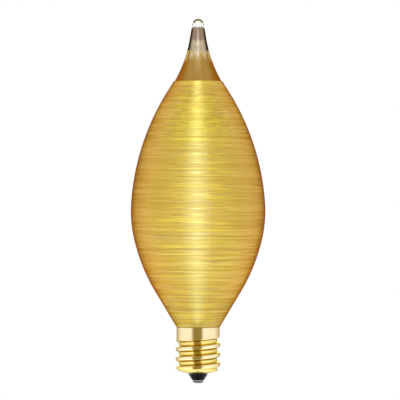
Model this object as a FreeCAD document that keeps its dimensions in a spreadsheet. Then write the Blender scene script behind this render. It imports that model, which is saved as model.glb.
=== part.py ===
import FreeCAD, Part
import math
import os
import Sketcher

# Candle bulb wound with spun glass fibre, on a small lamp screw base (E12).
# Millimetres. The bulb stands on the Z axis with its tip up, and the origin is the lowest
# point of the centre contact. The lead wires lie in the YZ plane, the side contact at +Y.

Vector = FreeCAD.Vector
doc = FreeCAD.newDocument("CandleBulb")

# Driving dimensions. Radii are measured from the bulb's axis and heights from the contact.
SIZES = {
    # glass envelope
    "tip_height": 95.5,
    "bead_radius": 1.5,
    "bead_length": 2.45,
    "shoulder_radius": 1.72,
    "shoulder_step": 0.14,
    "belly_height": 45.1,
    "belly_radius": 17.45,
    "belly_arc": 32.25,
    "glass_wall": 0.6,
    "neck_radius": 4.35,
    "neck_low": 6.2,
    "neck_fillet": 2.0,
    "hollow_end_radius": 1.3,
    # how steeply the outline leans at its joints, against the slope from belly to end
    "foot_slope_ratio": 0.605,
    "cone_slope_ratio": 1.465,
    "crown_slope_ratio": 0.22,
    "waist_slope_ratio": 1.836,
    "tip_slope_ratio": 0.51,
    "hollow_slope_ratio": 1.206,
    "waist_arc_share": 0.531,
    # fibre wrap
    "wrap_thickness": 0.2,
    "wrap_end_share": 0.135,
    # screw shell
    "rim_height": 14.65,
    "skirt_radius": 5.68,
    "crest_radius": 5.88,
    "thread_depth": 0.85,
    "thread_pitch": 2.54,
    "crest_flat": 0.1,
    "thread_turns": 4,
    "thread_below_rim": 3.28,
    "thread_runout": 0.95,
    "runout_turns": 0.5,
    "skirt_length": 3.75,
    "skirt_chamfer": 0.4,
    "sheet": 0.2,
    "lip_low": 2.65,
    "lip_angle": 15,
    "lip_arc": 1.5,
    "lip_opening": 3.1,
    # black insulator and centre contact
    "insulator_low": 0.8,
    "insulator_low_radius": 1.62,
    "insulator_cone_radius": 2.65,
    "insulator_cone_top": 2.5,
    "insulator_radius": 4.4,
    "insulator_top": 4.8,
    "cup_floor": 2.42,
    "cup_floor_radius": 1.5,
    "cup_rim_radius": 3.6,
    "eyelet_sheet": 0.16,
    "eyelet_flange_radius": 1.45,
    "eyelet_barrel_radius": 0.75,
    "eyelet_curl_radius": 1.2,
    "solder_flat_radius": 0.75,
    "solder_arc": 0.68,
    # side contact
    "side_solder_radius": 0.95,
    "side_solder_proud": 0.45,
    "side_hole_radius": 0.3,
    "side_hole_below_rim": 1.4,
    "side_lead_turn": 0.48,
    # basing cement
    "cement_depth": 4.45,
    "cement_recess": 0.7,
    "cement_channel": 0.5,
    # stem, with its flare, press and exhaust tube
    "flare_thickness": 0.6,
    "flare_fillet": 1.2,
    "stem_radius": 2.2,
    "stem_wall": 0.55,
    "press_low": 18.5,
    "press_flat": 21.0,
    "press_top": 25.5,
    "press_half_width": 2.4,
    "press_half_thickness": 0.9,
    "press_corner": 0.6,
    "exhaust_radius": 1.0,
    "exhaust_wall": 0.35,
    "exhaust_low": 4.95,
    "exhaust_seal": 0.7,
    "vent_height": 19.9,
    "vent_radius": 0.52,
    # arbor and its button
    "arbor_radius": 0.9,
    "button_radius": 1.8,
    "button_height": 1.4,
    "button_taper": 0.8,
    "button_below_filament": 9.2,
    "button_round": 0.4,
    # wires
    "lead_offset": 1.3,
    "outer_lead_radius": 0.12,
    "outer_lead_bend": 0.45,
    "outer_lead_low": 5.3,
    "outer_lead_track": 4.61,
    "seal_low": 20.6,
    "seal_top": 24.4,
    "seal_radius": 0.2,
    "inner_lead_radius": 0.2,
    "inner_lead_bend": 3.0,
    "inner_lead_spread": 5.2,
    "inner_lead_knee": 27.0,
    "inner_lead_end_run": 3.0,
    "leads_below_filament": 5.2,
    "support_radius": 0.09,
    "support_offset": 1.2,
    "support_loop": 0.42,
    # filament
    "filament_radius": 0.25,
    "filament_rise": 0.75,
    "filament_height": 48.2,
    "filament_half_span": 2.0,
    "filament_bend": 0.8,
    # clearances
    "seat_gap": 0.05,
    "wire_gap": 0.02,
    "cut_beyond": 1.0,
}

sizes = doc.addObject("Spreadsheet::Sheet", "Sizes")
for row, (alias, number) in enumerate(SIZES.items(), start=1):
    sizes.set(f"A{row}", alias.replace("_", " "))
    sizes.set(f"B{row}", str(number))
    sizes.setAlias(f"B{row}", alias)

# Worked-out places. The outline of the glass is a chain of tangent arcs: cone, foot arc,
# belly arc, crown arc, waist arc (hollow side out) and the straight taper of the tip.
# Each arc's centre is given by its radius from the axis and its height.
PLACES = {
    "shoulder_height": "Sizes.tip_height - Sizes.bead_length",
    "seat_radius": "Sizes.skirt_radius - Sizes.wrap_thickness / cos(cone_angle)",
    "lower_slope": "atan((Sizes.belly_radius - Sizes.skirt_radius)"
                   " / (Sizes.belly_height - Sizes.rim_height))",
    "upper_slope": "atan((Sizes.belly_radius - Sizes.shoulder_radius)"
                   " / (shoulder_height - Sizes.belly_height))",
    "foot_angle": "Sizes.foot_slope_ratio * lower_slope",
    "cone_angle": "Sizes.cone_slope_ratio * lower_slope",
    "crown_angle": "Sizes.crown_slope_ratio * upper_slope",
    "waist_angle": "Sizes.waist_slope_ratio * upper_slope",
    "tip_angle": "Sizes.tip_slope_ratio * upper_slope",
    "hollow_angle": "Sizes.hollow_slope_ratio * upper_slope",
    "belly_centre": "Sizes.belly_radius - Sizes.belly_arc",
    # foot arc, from the cone to the belly
    "foot_radius": "belly_centre + Sizes.belly_arc * cos(foot_angle)",
    "foot_height": "Sizes.belly_height - Sizes.belly_arc * sin(foot_angle)",
    "foot_arc": "(foot_radius - seat_radius - (foot_height - Sizes.rim_height) * tan(cone_angle))"
                " / (cos(foot_angle) - cos(cone_angle)"
                " - (sin(cone_angle) - sin(foot_angle)) * tan(cone_angle))",
    "foot_centre": "foot_radius - foot_arc * cos(foot_angle)",
    "foot_centre_height": "foot_height + foot_arc * sin(foot_angle)",
    # crown and waist arcs, from the belly to the taper of the tip
    "crown_radius": "belly_centre + Sizes.belly_arc * cos(crown_angle)",
    "crown_height": "Sizes.belly_height + Sizes.belly_arc * sin(crown_angle)",
    "crown_drop": "cos(crown_angle) - cos(waist_angle)"
                  " + Sizes.waist_arc_share * (cos(tip_angle) - cos(waist_angle))",
    "crown_rise": "sin(waist_angle) - sin(crown_angle)"
                  " + Sizes.waist_arc_share * (sin(waist_angle) - sin(tip_angle))",
    "crown_arc": "((crown_radius - Sizes.shoulder_radius) * cos(tip_angle)"
                 " - (shoulder_height - crown_height) * sin(tip_angle))"
                 " / (crown_drop * cos(tip_angle) - crown_rise * sin(tip_angle))",
    "crown_centre": "crown_radius - crown_arc * cos(crown_angle)",
    "crown_centre_height": "crown_height - crown_arc * sin(crown_angle)",
    "waist_arc": "Sizes.waist_arc_share * crown_arc",
    "waist_centre": "crown_centre + (crown_arc + waist_arc) * cos(waist_angle)",
    "waist_centre_height": "crown_centre_height + (crown_arc + waist_arc) * sin(waist_angle)",
    # where the wrap ends on the waist arc
    "wrap_end_angle": "waist_angle - Sizes.wrap_end_share * (waist_angle - tip_angle)",
    "wrap_top": "waist_centre_height - waist_arc * sin(wrap_end_angle)",
    # bend from the neck tube into the cone
    "neck_bend": "Sizes.rim_height - (seat_radius - Sizes.neck_radius) / tan(cone_angle)"
                 " - Sizes.neck_fillet * tan(cone_angle / 2)",
    "neck_bend_centre": "Sizes.neck_radius + Sizes.neck_fillet",
    # closed end of the hollow
    "hollow_start_radius": "waist_centre - (waist_arc + Sizes.glass_wall) * cos(hollow_angle)",
    "hollow_start_height": "waist_centre_height"
                           " - (waist_arc + Sizes.glass_wall) * sin(hollow_angle)",
    "hollow_end_centre": "hollow_start_height + (hollow_start_radius"
                         " - Sizes.hollow_end_radius / cos(hollow_angle)) / tan(hollow_angle)",
    # heights in the base that go with the shell's rim
    "skirt_step": "Sizes.rim_height - Sizes.skirt_length",
    "thread_end": "Sizes.rim_height - Sizes.thread_below_rim",
    "side_hole_height": "Sizes.rim_height - Sizes.side_hole_below_rim",
    "cement_low": "Sizes.rim_height - Sizes.cement_depth",
    "cement_top": "Sizes.rim_height - Sizes.cement_recess",
    # screw thread: crest and root arcs of one radius
    "groove_half": "(Sizes.thread_pitch - Sizes.crest_flat) / 2",
    "thread_arc": "(groove_half ^ 2 + Sizes.thread_depth ^ 2) / (4 * Sizes.thread_depth)",
    "root_radius": "Sizes.crest_radius - Sizes.thread_depth",
    "flank_angle": "asin(groove_half / (2 * thread_arc))",
    "lip_arc_height": "Sizes.lip_low + Sizes.lip_arc * cos(Sizes.lip_angle)"
                      " + (lip_arc_centre + Sizes.lip_arc * sin(Sizes.lip_angle)"
                      " - Sizes.lip_opening) * tan(Sizes.lip_angle)",
    "lip_arc_centre": "Sizes.crest_radius - Sizes.lip_arc",
    "insulator_chamfer": "lip_arc_height - Sizes.lip_arc / 2",
    # centre contact
    "eyelet_low": "Sizes.insulator_low - Sizes.eyelet_sheet",
    "solder_top": "eyelet_low - Sizes.wire_gap",
    "eyelet_bore": "Sizes.eyelet_barrel_radius - Sizes.eyelet_sheet",
    # stem
    "stem_bore": "Sizes.stem_radius - Sizes.stem_wall",
    "flare_low": "Sizes.neck_low - Sizes.flare_thickness",
    "exhaust_bore": "Sizes.exhaust_radius - Sizes.exhaust_wall",
    # heights in the mount that go with the filament
    "button_top": "Sizes.filament_height - Sizes.button_below_filament",
    "button_low": "button_top - Sizes.button_height",
    "arbor_top": "button_low - Sizes.button_taper",
    "inner_lead_top": "Sizes.filament_height - Sizes.leads_below_filament",
    "inner_lead_elbow": "inner_lead_top - Sizes.inner_lead_end_run",
}

places = doc.addObject("Spreadsheet::Sheet", "Places")
for row, (alias, formula) in enumerate(PLACES.items(), start=1):
    places.set(f"A{row}", alias.replace("_", " "))
    places.setAlias(f"B{row}", alias)
for row, formula in enumerate(PLACES.values(), start=1):
    places.set(f"B{row}", "=" + formula)
doc.recompute()


def full(formula):
    """The formula with its worked-out names pointed at their sheet."""
    words = []
    word = ""
    for letter in formula + " ":
        if letter.isalnum() or letter in "_.":
            word += letter
            continue
        words.append(f"Places.{word}" if word in PLACES else word)
        words.append(letter)
        word = ""
    return "".join(words).strip()


def value(formula):
    """The number that a formula of the sheets' names gives."""
    return float(sizes.evalExpression(full(formula)))


def origin_plane(body, role):
    """The body's own origin plane of that role."""
    for feature in body.Origin.OriginFeatures:
        if feature.Role == role:
            return feature
    raise ValueError(role)


def new_body(name):
    """A body whose label is the sub-part's name."""
    body = doc.addObject("PartDesign::Body", name)
    body.Label = name
    return body


def new_sketch(body, name, role, offset="0"):
    """A sketch on one of the body's origin planes, or at an offset from it."""
    sketch = body.newObject("Sketcher::SketchObject", name)
    sketch.AttachmentSupport = [(origin_plane(body, role), "")]
    sketch.MapMode = "FlatFace"
    if offset != "0":
        sketch.AttachmentOffset = FreeCAD.Placement(Vector(0, 0, value(offset)), FreeCAD.Rotation())
        sketch.setExpression("AttachmentOffset.Base.z", full(offset))
    return sketch


def bind(sketch, constraint, formula):
    """Adds a sized constraint and ties it to its formula."""
    index = sketch.addConstraint(constraint)
    sketch.setExpression(f"Constraints[{index}]", full(formula))


def place_point(sketch, geometry, vertex, x, y):
    """Holds a point of the sketch at two formulas, measured from the sketch's origin."""
    if x == "0":
        sketch.addConstraint(Sketcher.Constraint("PointOnObject", geometry, vertex, -2))
    else:
        across = Sketcher.Constraint("DistanceX", -1, 1, geometry, vertex, value(x))
        bind(sketch, across, x)
    if y == "0":
        sketch.addConstraint(Sketcher.Constraint("PointOnObject", geometry, vertex, -1))
    else:
        up = Sketcher.Constraint("DistanceY", -1, 1, geometry, vertex, value(y))
        bind(sketch, up, y)


def add_arc(sketch, start, end, radius, bulges_left):
    """Adds the arc from start to end that bulges to the left or right of the way.
    Arcs of a sketch run anticlockwise, so this gives its vertices in the order of the way."""
    chord = end - start
    left = Vector(-chord.y, chord.x, 0).normalize()
    depth = math.sqrt(max(radius ** 2 - chord.Length ** 2 / 4, 0.0))
    centre = (start + end) / 2 + left * (-depth if bulges_left else depth)
    begin, finish = (end, start) if bulges_left else (start, end)
    angles = [math.atan2(spot.y - centre.y, spot.x - centre.x) for spot in (begin, finish)]
    if angles[1] < angles[0]:
        angles[1] += 2 * math.pi
    circle = Part.Circle(centre, Vector(0, 0, 1), radius)
    arc = sketch.addGeometry(Part.ArcOfCircle(circle, *angles))
    return (arc, 2, 1) if bulges_left else (arc, 1, 2)


def draw_outline(sketch, points):
    """A closed outline through (x, y) points. A third item makes the edge that leads to
    its point an arc of that radius: "+" bulges it to the left of the way, "-" to the right."""
    spots = [Vector(value(point[0]), value(point[1]), 0) for point in points]
    ends = []
    for number, point in enumerate(points):
        start = spots[number - 1]
        end = spots[number]
        if len(point) == 2:
            edge = sketch.addGeometry(Part.LineSegment(start, end))
            ends.append((edge, 1, 2))
            continue
        bulge, radius = point[2]
        ends.append(add_arc(sketch, start, end, value(radius), bulge == "+"))
        bind(sketch, Sketcher.Constraint("Radius", ends[-1][0], value(radius)), radius)
    for number, point in enumerate(points):
        edge, _, last = ends[number]
        following, first, _ = ends[(number + 1) % len(points)]
        sketch.addConstraint(Sketcher.Constraint("Coincident", edge, last, following, first))
        place_point(sketch, edge, last, point[0], point[1])


def draw_circle(sketch, x, y, radius):
    """A circle with its centre held at two formulas."""
    centre = Vector(value(x), value(y), 0)
    edge = sketch.addGeometry(Part.Circle(centre, Vector(0, 0, 1), value(radius)))
    bind(sketch, Sketcher.Constraint("Radius", edge, value(radius)), radius)
    place_point(sketch, edge, 3, x, y)


def turned(name, points, plane="XZ_Plane"):
    """A body turned from a closed half outline of radii and heights."""
    body = new_body(name)
    sketch = new_sketch(body, f"{name}_outline", plane)
    draw_outline(sketch, points)
    turn = body.newObject("PartDesign::Revolution", f"{name}_turn")
    turn.Profile = sketch
    turn.ReferenceAxis = (sketch, ["V_Axis"])
    turn.Angle = 360
    doc.recompute()
    return body


def hollowed(body, points):
    """Takes a turned hollow with this closed half outline out of the body."""
    sketch = new_sketch(body, f"{body.Name}_hollow_outline", "XZ_Plane")
    draw_outline(sketch, points)
    hollow = body.newObject("PartDesign::Groove", f"{body.Name}_hollow")
    hollow.Profile = sketch
    hollow.ReferenceAxis = (sketch, ["V_Axis"])
    hollow.Angle = 360
    doc.recompute()
    return body


def draw_path(sketch, corners, bend):
    """An open path of straight runs through the corners, joined by arcs of one radius."""
    spots = [Vector(value(x), value(y), 0) for x, y in corners]
    radius = value(bend)
    starts = [spots[0]]
    stops = []
    for before, corner, after in zip(spots, spots[1:], spots[2:]):
        back = (before - corner).normalize()
        ahead = (after - corner).normalize()
        reach = radius / math.tan(back.getAngle(ahead) / 2)
        stops.append(corner + back * reach)
        starts.append(corner + ahead * reach)
    stops.append(spots[-1])
    runs = [sketch.addGeometry(Part.LineSegment(a, b)) for a, b in zip(starts, stops)]
    place_point(sketch, runs[0], 1, *corners[0])
    place_point(sketch, runs[-1], 2, *corners[-1])
    for number, leave in enumerate(starts[1:]):
        arrive = stops[number]
        ahead = spots[number + 1] - spots[number]
        turns_right = ahead.cross(spots[number + 2] - spots[number + 1]).z < 0
        arc, first, last = add_arc(sketch, arrive, leave, radius, turns_right)
        sketch.addConstraint(Sketcher.Constraint("Tangent", runs[number], 2, arc, first))
        sketch.addConstraint(Sketcher.Constraint("Tangent", runs[number + 1], 1, arc, last))
        bind(sketch, Sketcher.Constraint("Radius", arc, radius), bend)
        corner = sketch.addGeometry(Part.Point(spots[number + 1]), True)
        sketch.addConstraint(Sketcher.Constraint("PointOnObject", corner, 1, runs[number]))
        sketch.addConstraint(Sketcher.Constraint("PointOnObject", corner, 1, runs[number + 1]))
        place_point(sketch, corner, 1, *corners[number + 1])


def wire(name, corners, bend, radius):
    """A round wire in the YZ plane, swept along runs and bends."""
    body = new_body(name)
    path = new_sketch(body, f"{name}_path", "YZ_Plane")
    draw_path(path, corners, bend)
    doc.recompute()
    section = body.newObject("Sketcher::SketchObject", f"{name}_section")
    section.AttachmentSupport = [(path, "Edge1")]
    section.MapMode = "NormalToEdge"
    section.MapPathParameter = 0
    draw_circle(section, "0", "0", radius)
    pipe = body.newObject("PartDesign::AdditivePipe", f"{name}_sweep")
    pipe.Profile = section
    pipe.Spine = path
    doc.recompute()
    return body


def part_object(kind, name, **formulas):
    """A primitive of the document with its sizes tied to formulas."""
    solid = doc.addObject(f"Part::{kind}", name)
    for key, formula in formulas.items():
        solid.setExpression(key, full(formula))
    return solid


def cut(name, base, tool):
    """What is left of the base once the tool is taken away."""
    result = doc.addObject("Part::Cut", name)
    result.Base = base
    result.Tool = tool
    result.Label = name
    doc.recompute()
    return result


# Outline of the glass, inset by a wall thickness where it is asked for
def on_arc(centre, centre_height, radius, angle, inset, side):
    """Point of an outline arc, moved towards the axis by the inset."""
    reach = f"({radius} - ({inset}))"
    return (f"{centre} + {reach} * cos({angle})", f"{centre_height} {side} {reach} * sin({angle})")


def flank(inset):
    """Points of the outline from the lower end of the foot arc up to the start of the waist."""
    foot = ("foot_centre", "foot_centre_height", "foot_arc")
    crown = ("crown_centre", "crown_centre_height", "crown_arc")
    belly_arc = f"Sizes.belly_arc - ({inset})"
    return [
        on_arc(*foot, "cone_angle", inset, "-"),
        on_arc(*foot, "foot_angle", inset, "-") + (("-", f"foot_arc - ({inset})"),),
        on_arc(*crown, "crown_angle", inset, "+") + (("-", belly_arc),),
        on_arc(*crown, "waist_angle", inset, "+") + (("-", f"crown_arc - ({inset})"),),
    ]


def on_waist(angle, inset):
    """Point of the waist arc, whose centre lies outside the glass."""
    reach = f"(waist_arc + {inset})"
    return (f"waist_centre - {reach} * cos({angle})", f"waist_centre_height - {reach} * sin({angle})")


def backwards(points):
    """The same open run of points drawn the other way, with each arc's bulge turned over."""
    turned_over = {"+": "-", "-": "+"}
    result = []
    for number in range(len(points) - 1, -1, -1):
        leads = points[number + 1] if number + 1 < len(points) else ()
        point = points[number][:2]
        if len(leads) == 3:
            bulge, radius = leads[2]
            point += ((turned_over[bulge], radius),)
        result.append(point)
    return result


def neck_bend_point(reach):
    """Upper end of the bend from neck to cone, at a distance from the bend's centre."""
    return (f"neck_bend_centre - ({reach}) * cos(cone_angle)",
            f"neck_bend + ({reach}) * sin(cone_angle)")


def glass_envelope():
    """One blown bulb: neck tube, pear-shaped body and the drawn tip with its melted bead."""
    wall = "Sizes.glass_wall"
    bend = "Sizes.neck_fillet"
    outside = [
        ("0", "Sizes.neck_low"),
        ("Sizes.neck_radius", "Sizes.neck_low"),
        ("Sizes.neck_radius", "neck_bend"),
        neck_bend_point(bend) + (("+", bend),),
        *flank("0"),
        on_waist("tip_angle", "0") + (("+", "waist_arc"),),
        ("Sizes.shoulder_radius", "shoulder_height"),
        ("Sizes.bead_radius", "shoulder_height + Sizes.shoulder_step"),
        ("Sizes.bead_radius", "Sizes.tip_height - Sizes.bead_radius"),
        ("0", "Sizes.tip_height", ("-", "Sizes.bead_radius")),
    ]
    inside = [
        ("0", "Sizes.neck_low"),
        (f"Sizes.neck_radius - {wall}", "Sizes.neck_low"),
        (f"Sizes.neck_radius - {wall}", "neck_bend"),
        neck_bend_point(f"{bend} + {wall}") + (("+", f"{bend} + {wall}"),),
        *flank(wall),
        on_waist("hollow_angle", wall) + (("+", f"waist_arc + {wall}"),),
        ("Sizes.hollow_end_radius * cos(hollow_angle)",
         "hollow_end_centre + Sizes.hollow_end_radius * sin(hollow_angle)"),
        ("0", "hollow_end_centre + Sizes.hollow_end_radius", ("-", "Sizes.hollow_end_radius")),
    ]
    return hollowed(turned("glass_envelope", outside), inside)


def spun_glass_wrap():
    """The wound layer of glass fibre and lacquer, from the shell's rim up to the waist."""
    thick = "Sizes.wrap_thickness"
    low = "Sizes.rim_height + Sizes.seat_gap"
    gap_lean = "Sizes.seat_gap * tan(cone_angle)"
    glass = "Sizes.wire_gap"
    skin = f"0 - {thick}"
    end_skin = f"asin((waist_centre_height - wrap_top) / (waist_arc - {thick}))"
    end_glass = f"asin((waist_centre_height - wrap_top) / (waist_arc - {glass}))"
    outside = [
        (f"Sizes.skirt_radius + {gap_lean}", low),
        *flank(skin),
        on_waist(end_skin, skin) + (("+", f"waist_arc - {thick}"),),
    ]
    inside = [
        (f"seat_radius + {glass} / cos(cone_angle) + {gap_lean}", low),
        *flank(f"0 - {glass}"),
        on_waist(end_glass, f"0 - {glass}") + (("+", f"waist_arc - {glass}"),),
    ]
    return turned("spun_glass_wrap", outside + backwards(inside))


def thread_groove(body, name, inset, middle):
    """Sketch of the rolled groove: a root arc between two half crest arcs."""
    sketch = new_sketch(body, name, "XZ_Plane")
    crest = f"Sizes.crest_radius - {inset}"
    crest_centre = "Sizes.crest_radius - thread_arc"
    crest_arc = f"thread_arc - {inset}"
    root_arc = f"thread_arc + {inset}"
    outer = "Sizes.crest_radius + Sizes.thread_depth / 2"
    joint_radius = f"{crest_centre} + ({crest_arc}) * cos(flank_angle)"
    joint_half = f"(groove_half - ({crest_arc}) * sin(flank_angle))"
    draw_outline(sketch, [
        (crest, f"{middle} - groove_half"),
        (joint_radius, f"{middle} - {joint_half}", ("-", crest_arc)),
        (joint_radius, f"{middle} + {joint_half}", ("+", root_arc)),
        (crest, f"{middle} + groove_half", ("-", crest_arc)),
        (outer, f"{middle} + groove_half"),
        (outer, f"{middle} - groove_half"),
    ])
    return sketch


def shell_form(name, inset, outline):
    """A threaded plug: the shell's outside, or the hollow in it when inset by the sheet.
    Its outline lies across the groove's sketches, so its seam stays clear of their ends."""
    body = turned(name, outline, "YZ_Plane")
    start = "(thread_end - Sizes.thread_turns * Sizes.thread_pitch)"
    groove = thread_groove(body, f"{name}_groove", inset, start)
    helix = body.newObject("PartDesign::SubtractiveHelix", f"{name}_thread")
    helix.Profile = groove
    helix.ReferenceAxis = (groove, ["V_Axis"])
    helix.Mode = "pitch-turns-angle"
    helix.setExpression("Pitch", "Sizes.thread_pitch")
    helix.setExpression("Turns", "Sizes.thread_turns")
    doc.recompute()
    end = thread_groove(body, f"{name}_last_groove", inset, "thread_end")
    runout = body.newObject("PartDesign::SubtractiveHelix", f"{name}_runout")
    runout.Profile = end
    runout.ReferenceAxis = (end, ["V_Axis"])
    runout.Mode = "height-turns-growth"
    runout.setExpression("Height", "Sizes.thread_pitch * Sizes.runout_turns")
    runout.setExpression("Turns", "Sizes.runout_turns")
    runout.setExpression("Growth", "Sizes.thread_runout / Sizes.runout_turns")
    doc.recompute()
    return body


def screw_shell():
    """Shell rolled from sheet brass, threaded alike inside and outside."""
    sheet = "Sizes.sheet"
    slope = "tan(Sizes.lip_angle)"
    lip_start = ("lip_arc_centre + ({0}) * sin(Sizes.lip_angle)",
                 "lip_arc_height - ({0}) * cos(Sizes.lip_angle)")
    outside = [
        ("0", "Sizes.lip_low"),
        ("Sizes.lip_opening", "Sizes.lip_low"),
        tuple(part.format("Sizes.lip_arc") for part in lip_start),
        ("Sizes.crest_radius", "lip_arc_height", ("-", "Sizes.lip_arc")),
        ("Sizes.crest_radius", "skirt_step"),
        ("Sizes.skirt_radius", "skirt_step + Sizes.skirt_chamfer"),
        ("Sizes.skirt_radius", "Sizes.rim_height"),
        ("0", "Sizes.rim_height"),
    ]
    lip_inner = f"Sizes.lip_arc - {sheet}"
    inside = [
        ("0", "Sizes.lip_low - Sizes.cut_beyond"),
        ("Sizes.lip_opening", "Sizes.lip_low - Sizes.cut_beyond"),
        ("Sizes.lip_opening", f"Sizes.lip_low + {sheet} / cos(Sizes.lip_angle)"),
        tuple(part.format(lip_inner) for part in lip_start),
        (f"Sizes.crest_radius - {sheet}", "lip_arc_height", ("-", lip_inner)),
        (f"Sizes.crest_radius - {sheet}", "skirt_step"),
        (f"Sizes.skirt_radius - {sheet}", "skirt_step + Sizes.skirt_chamfer"),
        (f"Sizes.skirt_radius - {sheet}", "Sizes.rim_height + Sizes.cut_beyond"),
        ("0", "Sizes.rim_height + Sizes.cut_beyond"),
    ]
    outer_form = shell_form("shell_outside", "0", outside)
    inner_form = shell_form("shell_hollow", sheet, inside)
    wall = cut("shell_wall", outer_form, inner_form)
    hole = part_object("Cylinder", "side_lead_hole", Radius="Sizes.side_hole_radius",
                       Height="Sizes.crest_radius")
    hole.Placement.Rotation = FreeCAD.Rotation(Vector(1, 0, 0), -90)
    hole.setExpression("Placement.Base.z", full("side_hole_height"))
    return cut("screw_shell", wall, hole)


def base_insulator():
    """Moulded black glass: the cone round the contact and the cup that seats in the shell."""
    lip_gap = "Sizes.seat_gap"
    lip_face = ("Sizes.lip_low + (Sizes.sheet + Sizes.seat_gap) / cos(Sizes.lip_angle)"
                " + ({0} - Sizes.lip_opening) * tan(Sizes.lip_angle)")
    throat = f"Sizes.lip_opening - {lip_gap}"
    bore = f"Sizes.eyelet_barrel_radius + {lip_gap}"
    return turned("base_insulator", [
        (bore, "Sizes.insulator_low"),
        ("Sizes.insulator_low_radius", "Sizes.insulator_low"),
        ("Sizes.insulator_cone_radius", "Sizes.insulator_cone_top"),
        (throat, "Sizes.lip_low"),
        (throat, lip_face.format(throat)),
        ("lip_arc_centre", lip_face.format("lip_arc_centre")),
        ("Sizes.insulator_radius", "insulator_chamfer"),
        ("Sizes.insulator_radius", "Sizes.insulator_top"),
        ("Sizes.cup_rim_radius", "Sizes.insulator_top"),
        ("Sizes.cup_floor_radius", "Sizes.cup_floor"),
        (bore, "Sizes.cup_floor"),
    ])


def contact_eyelet():
    """Brass eyelet through the insulator, its upper edge curled over the cup's floor."""
    barrel = "Sizes.eyelet_barrel_radius"
    curl_top = "Sizes.cup_floor + Sizes.eyelet_sheet"
    return turned("contact_eyelet", [
        ("eyelet_bore", "eyelet_low"),
        ("Sizes.eyelet_flange_radius", "eyelet_low"),
        ("Sizes.eyelet_flange_radius", "Sizes.insulator_low"),
        (barrel, "Sizes.insulator_low"),
        (barrel, "Sizes.cup_floor"),
        ("Sizes.eyelet_curl_radius", "Sizes.cup_floor"),
        ("Sizes.eyelet_curl_radius", curl_top),
        ("eyelet_bore", curl_top),
    ])


def centre_solder():
    """The flattened drop of solder that is the centre contact."""
    return turned("centre_solder", [
        ("0", "0"),
        ("Sizes.solder_flat_radius", "0"),
        ("Sizes.eyelet_flange_radius", "solder_top", ("-", "Sizes.solder_arc")),
        ("0", "solder_top"),
    ])


def side_solder():
    """The drop of solder over the side lead's end, on the back of the skirt."""
    drop = part_object("Sphere", "side_solder_drop", Radius="Sizes.side_solder_radius")
    drop.setExpression("Placement.Base.y", full(
        "Sizes.skirt_radius + Sizes.side_solder_proud - Sizes.side_solder_radius"))
    drop.setExpression("Placement.Base.z", full("side_hole_height"))
    skirt = part_object("Cylinder", "side_solder_seat",
                        Radius="Sizes.skirt_radius + Sizes.wire_gap",
                        Height="Sizes.rim_height + Sizes.side_solder_radius")
    return cut("side_solder", drop, skirt)


def basing_cement():
    """Cement between the glass neck and the shell, with a channel for the side lead."""
    gap = "Sizes.seat_gap"
    neck = f"Sizes.neck_radius + {gap}"
    cone = "seat_radius + {1} - (Sizes.rim_height - {0}) * tan(cone_angle)"
    on_cone = cone.format("cement_top", f"{gap} / cos(cone_angle)")
    bend_reach = f"Sizes.neck_fillet - {gap}"
    thread_wall = f"root_radius - Sizes.sheet - {gap}"
    skirt_wall = f"Sizes.skirt_radius - Sizes.sheet - {gap}"
    clear_of_thread = "thread_end + groove_half"
    ring = turned("cement_ring", [
        (neck, "cement_low"),
        (thread_wall, "cement_low"),
        (thread_wall, clear_of_thread),
        (skirt_wall, clear_of_thread),
        (skirt_wall, "cement_top"),
        (on_cone, "cement_top"),
        neck_bend_point(bend_reach),
        (neck, "neck_bend", ("-", bend_reach)),
    ])
    channel = part_object("Box", "cement_channel", Width="Sizes.skirt_radius",
                          Length="Sizes.cement_channel", Height="Sizes.rim_height")
    channel.setExpression("Placement.Base.x", "-Sizes.cement_channel / 2")
    return cut("basing_cement", ring, channel)


def pad_feature(body, name, sketch, length):
    """Pads a sketch of the body upwards."""
    pad = body.newObject("PartDesign::Pad", name)
    pad.Profile = sketch
    pad.setExpression("Length", full(length))
    return pad


def pocket_feature(body, name, sketch, length, backward):
    """Cuts a sketch of the body out, along its normal where backward is set."""
    pocket = body.newObject("PartDesign::Pocket", name)
    pocket.Profile = sketch
    pocket.Reversed = backward
    pocket.setExpression("Length", full(length))
    doc.recompute()
    return pocket


def draw_press_section(sketch):
    """Rounded oblong of the pinched glass."""
    wide = "Sizes.press_half_width"
    thin = "Sizes.press_half_thickness"
    corner = "Sizes.press_corner"
    inner_wide = f"{wide} - {corner}"
    inner_thin = f"{thin} - {corner}"
    draw_outline(sketch, [
        (thin, inner_wide),
        (inner_thin, wide, ("-", corner)),
        (f"0 - ({inner_thin})", wide),
        (f"0 - {thin}", inner_wide, ("-", corner)),
        (f"0 - {thin}", f"0 - ({inner_wide})"),
        (f"0 - ({inner_thin})", f"0 - {wide}", ("-", corner)),
        (inner_thin, f"0 - {wide}"),
        (thin, f"0 - ({inner_wide})", ("-", corner)),
    ])


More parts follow.
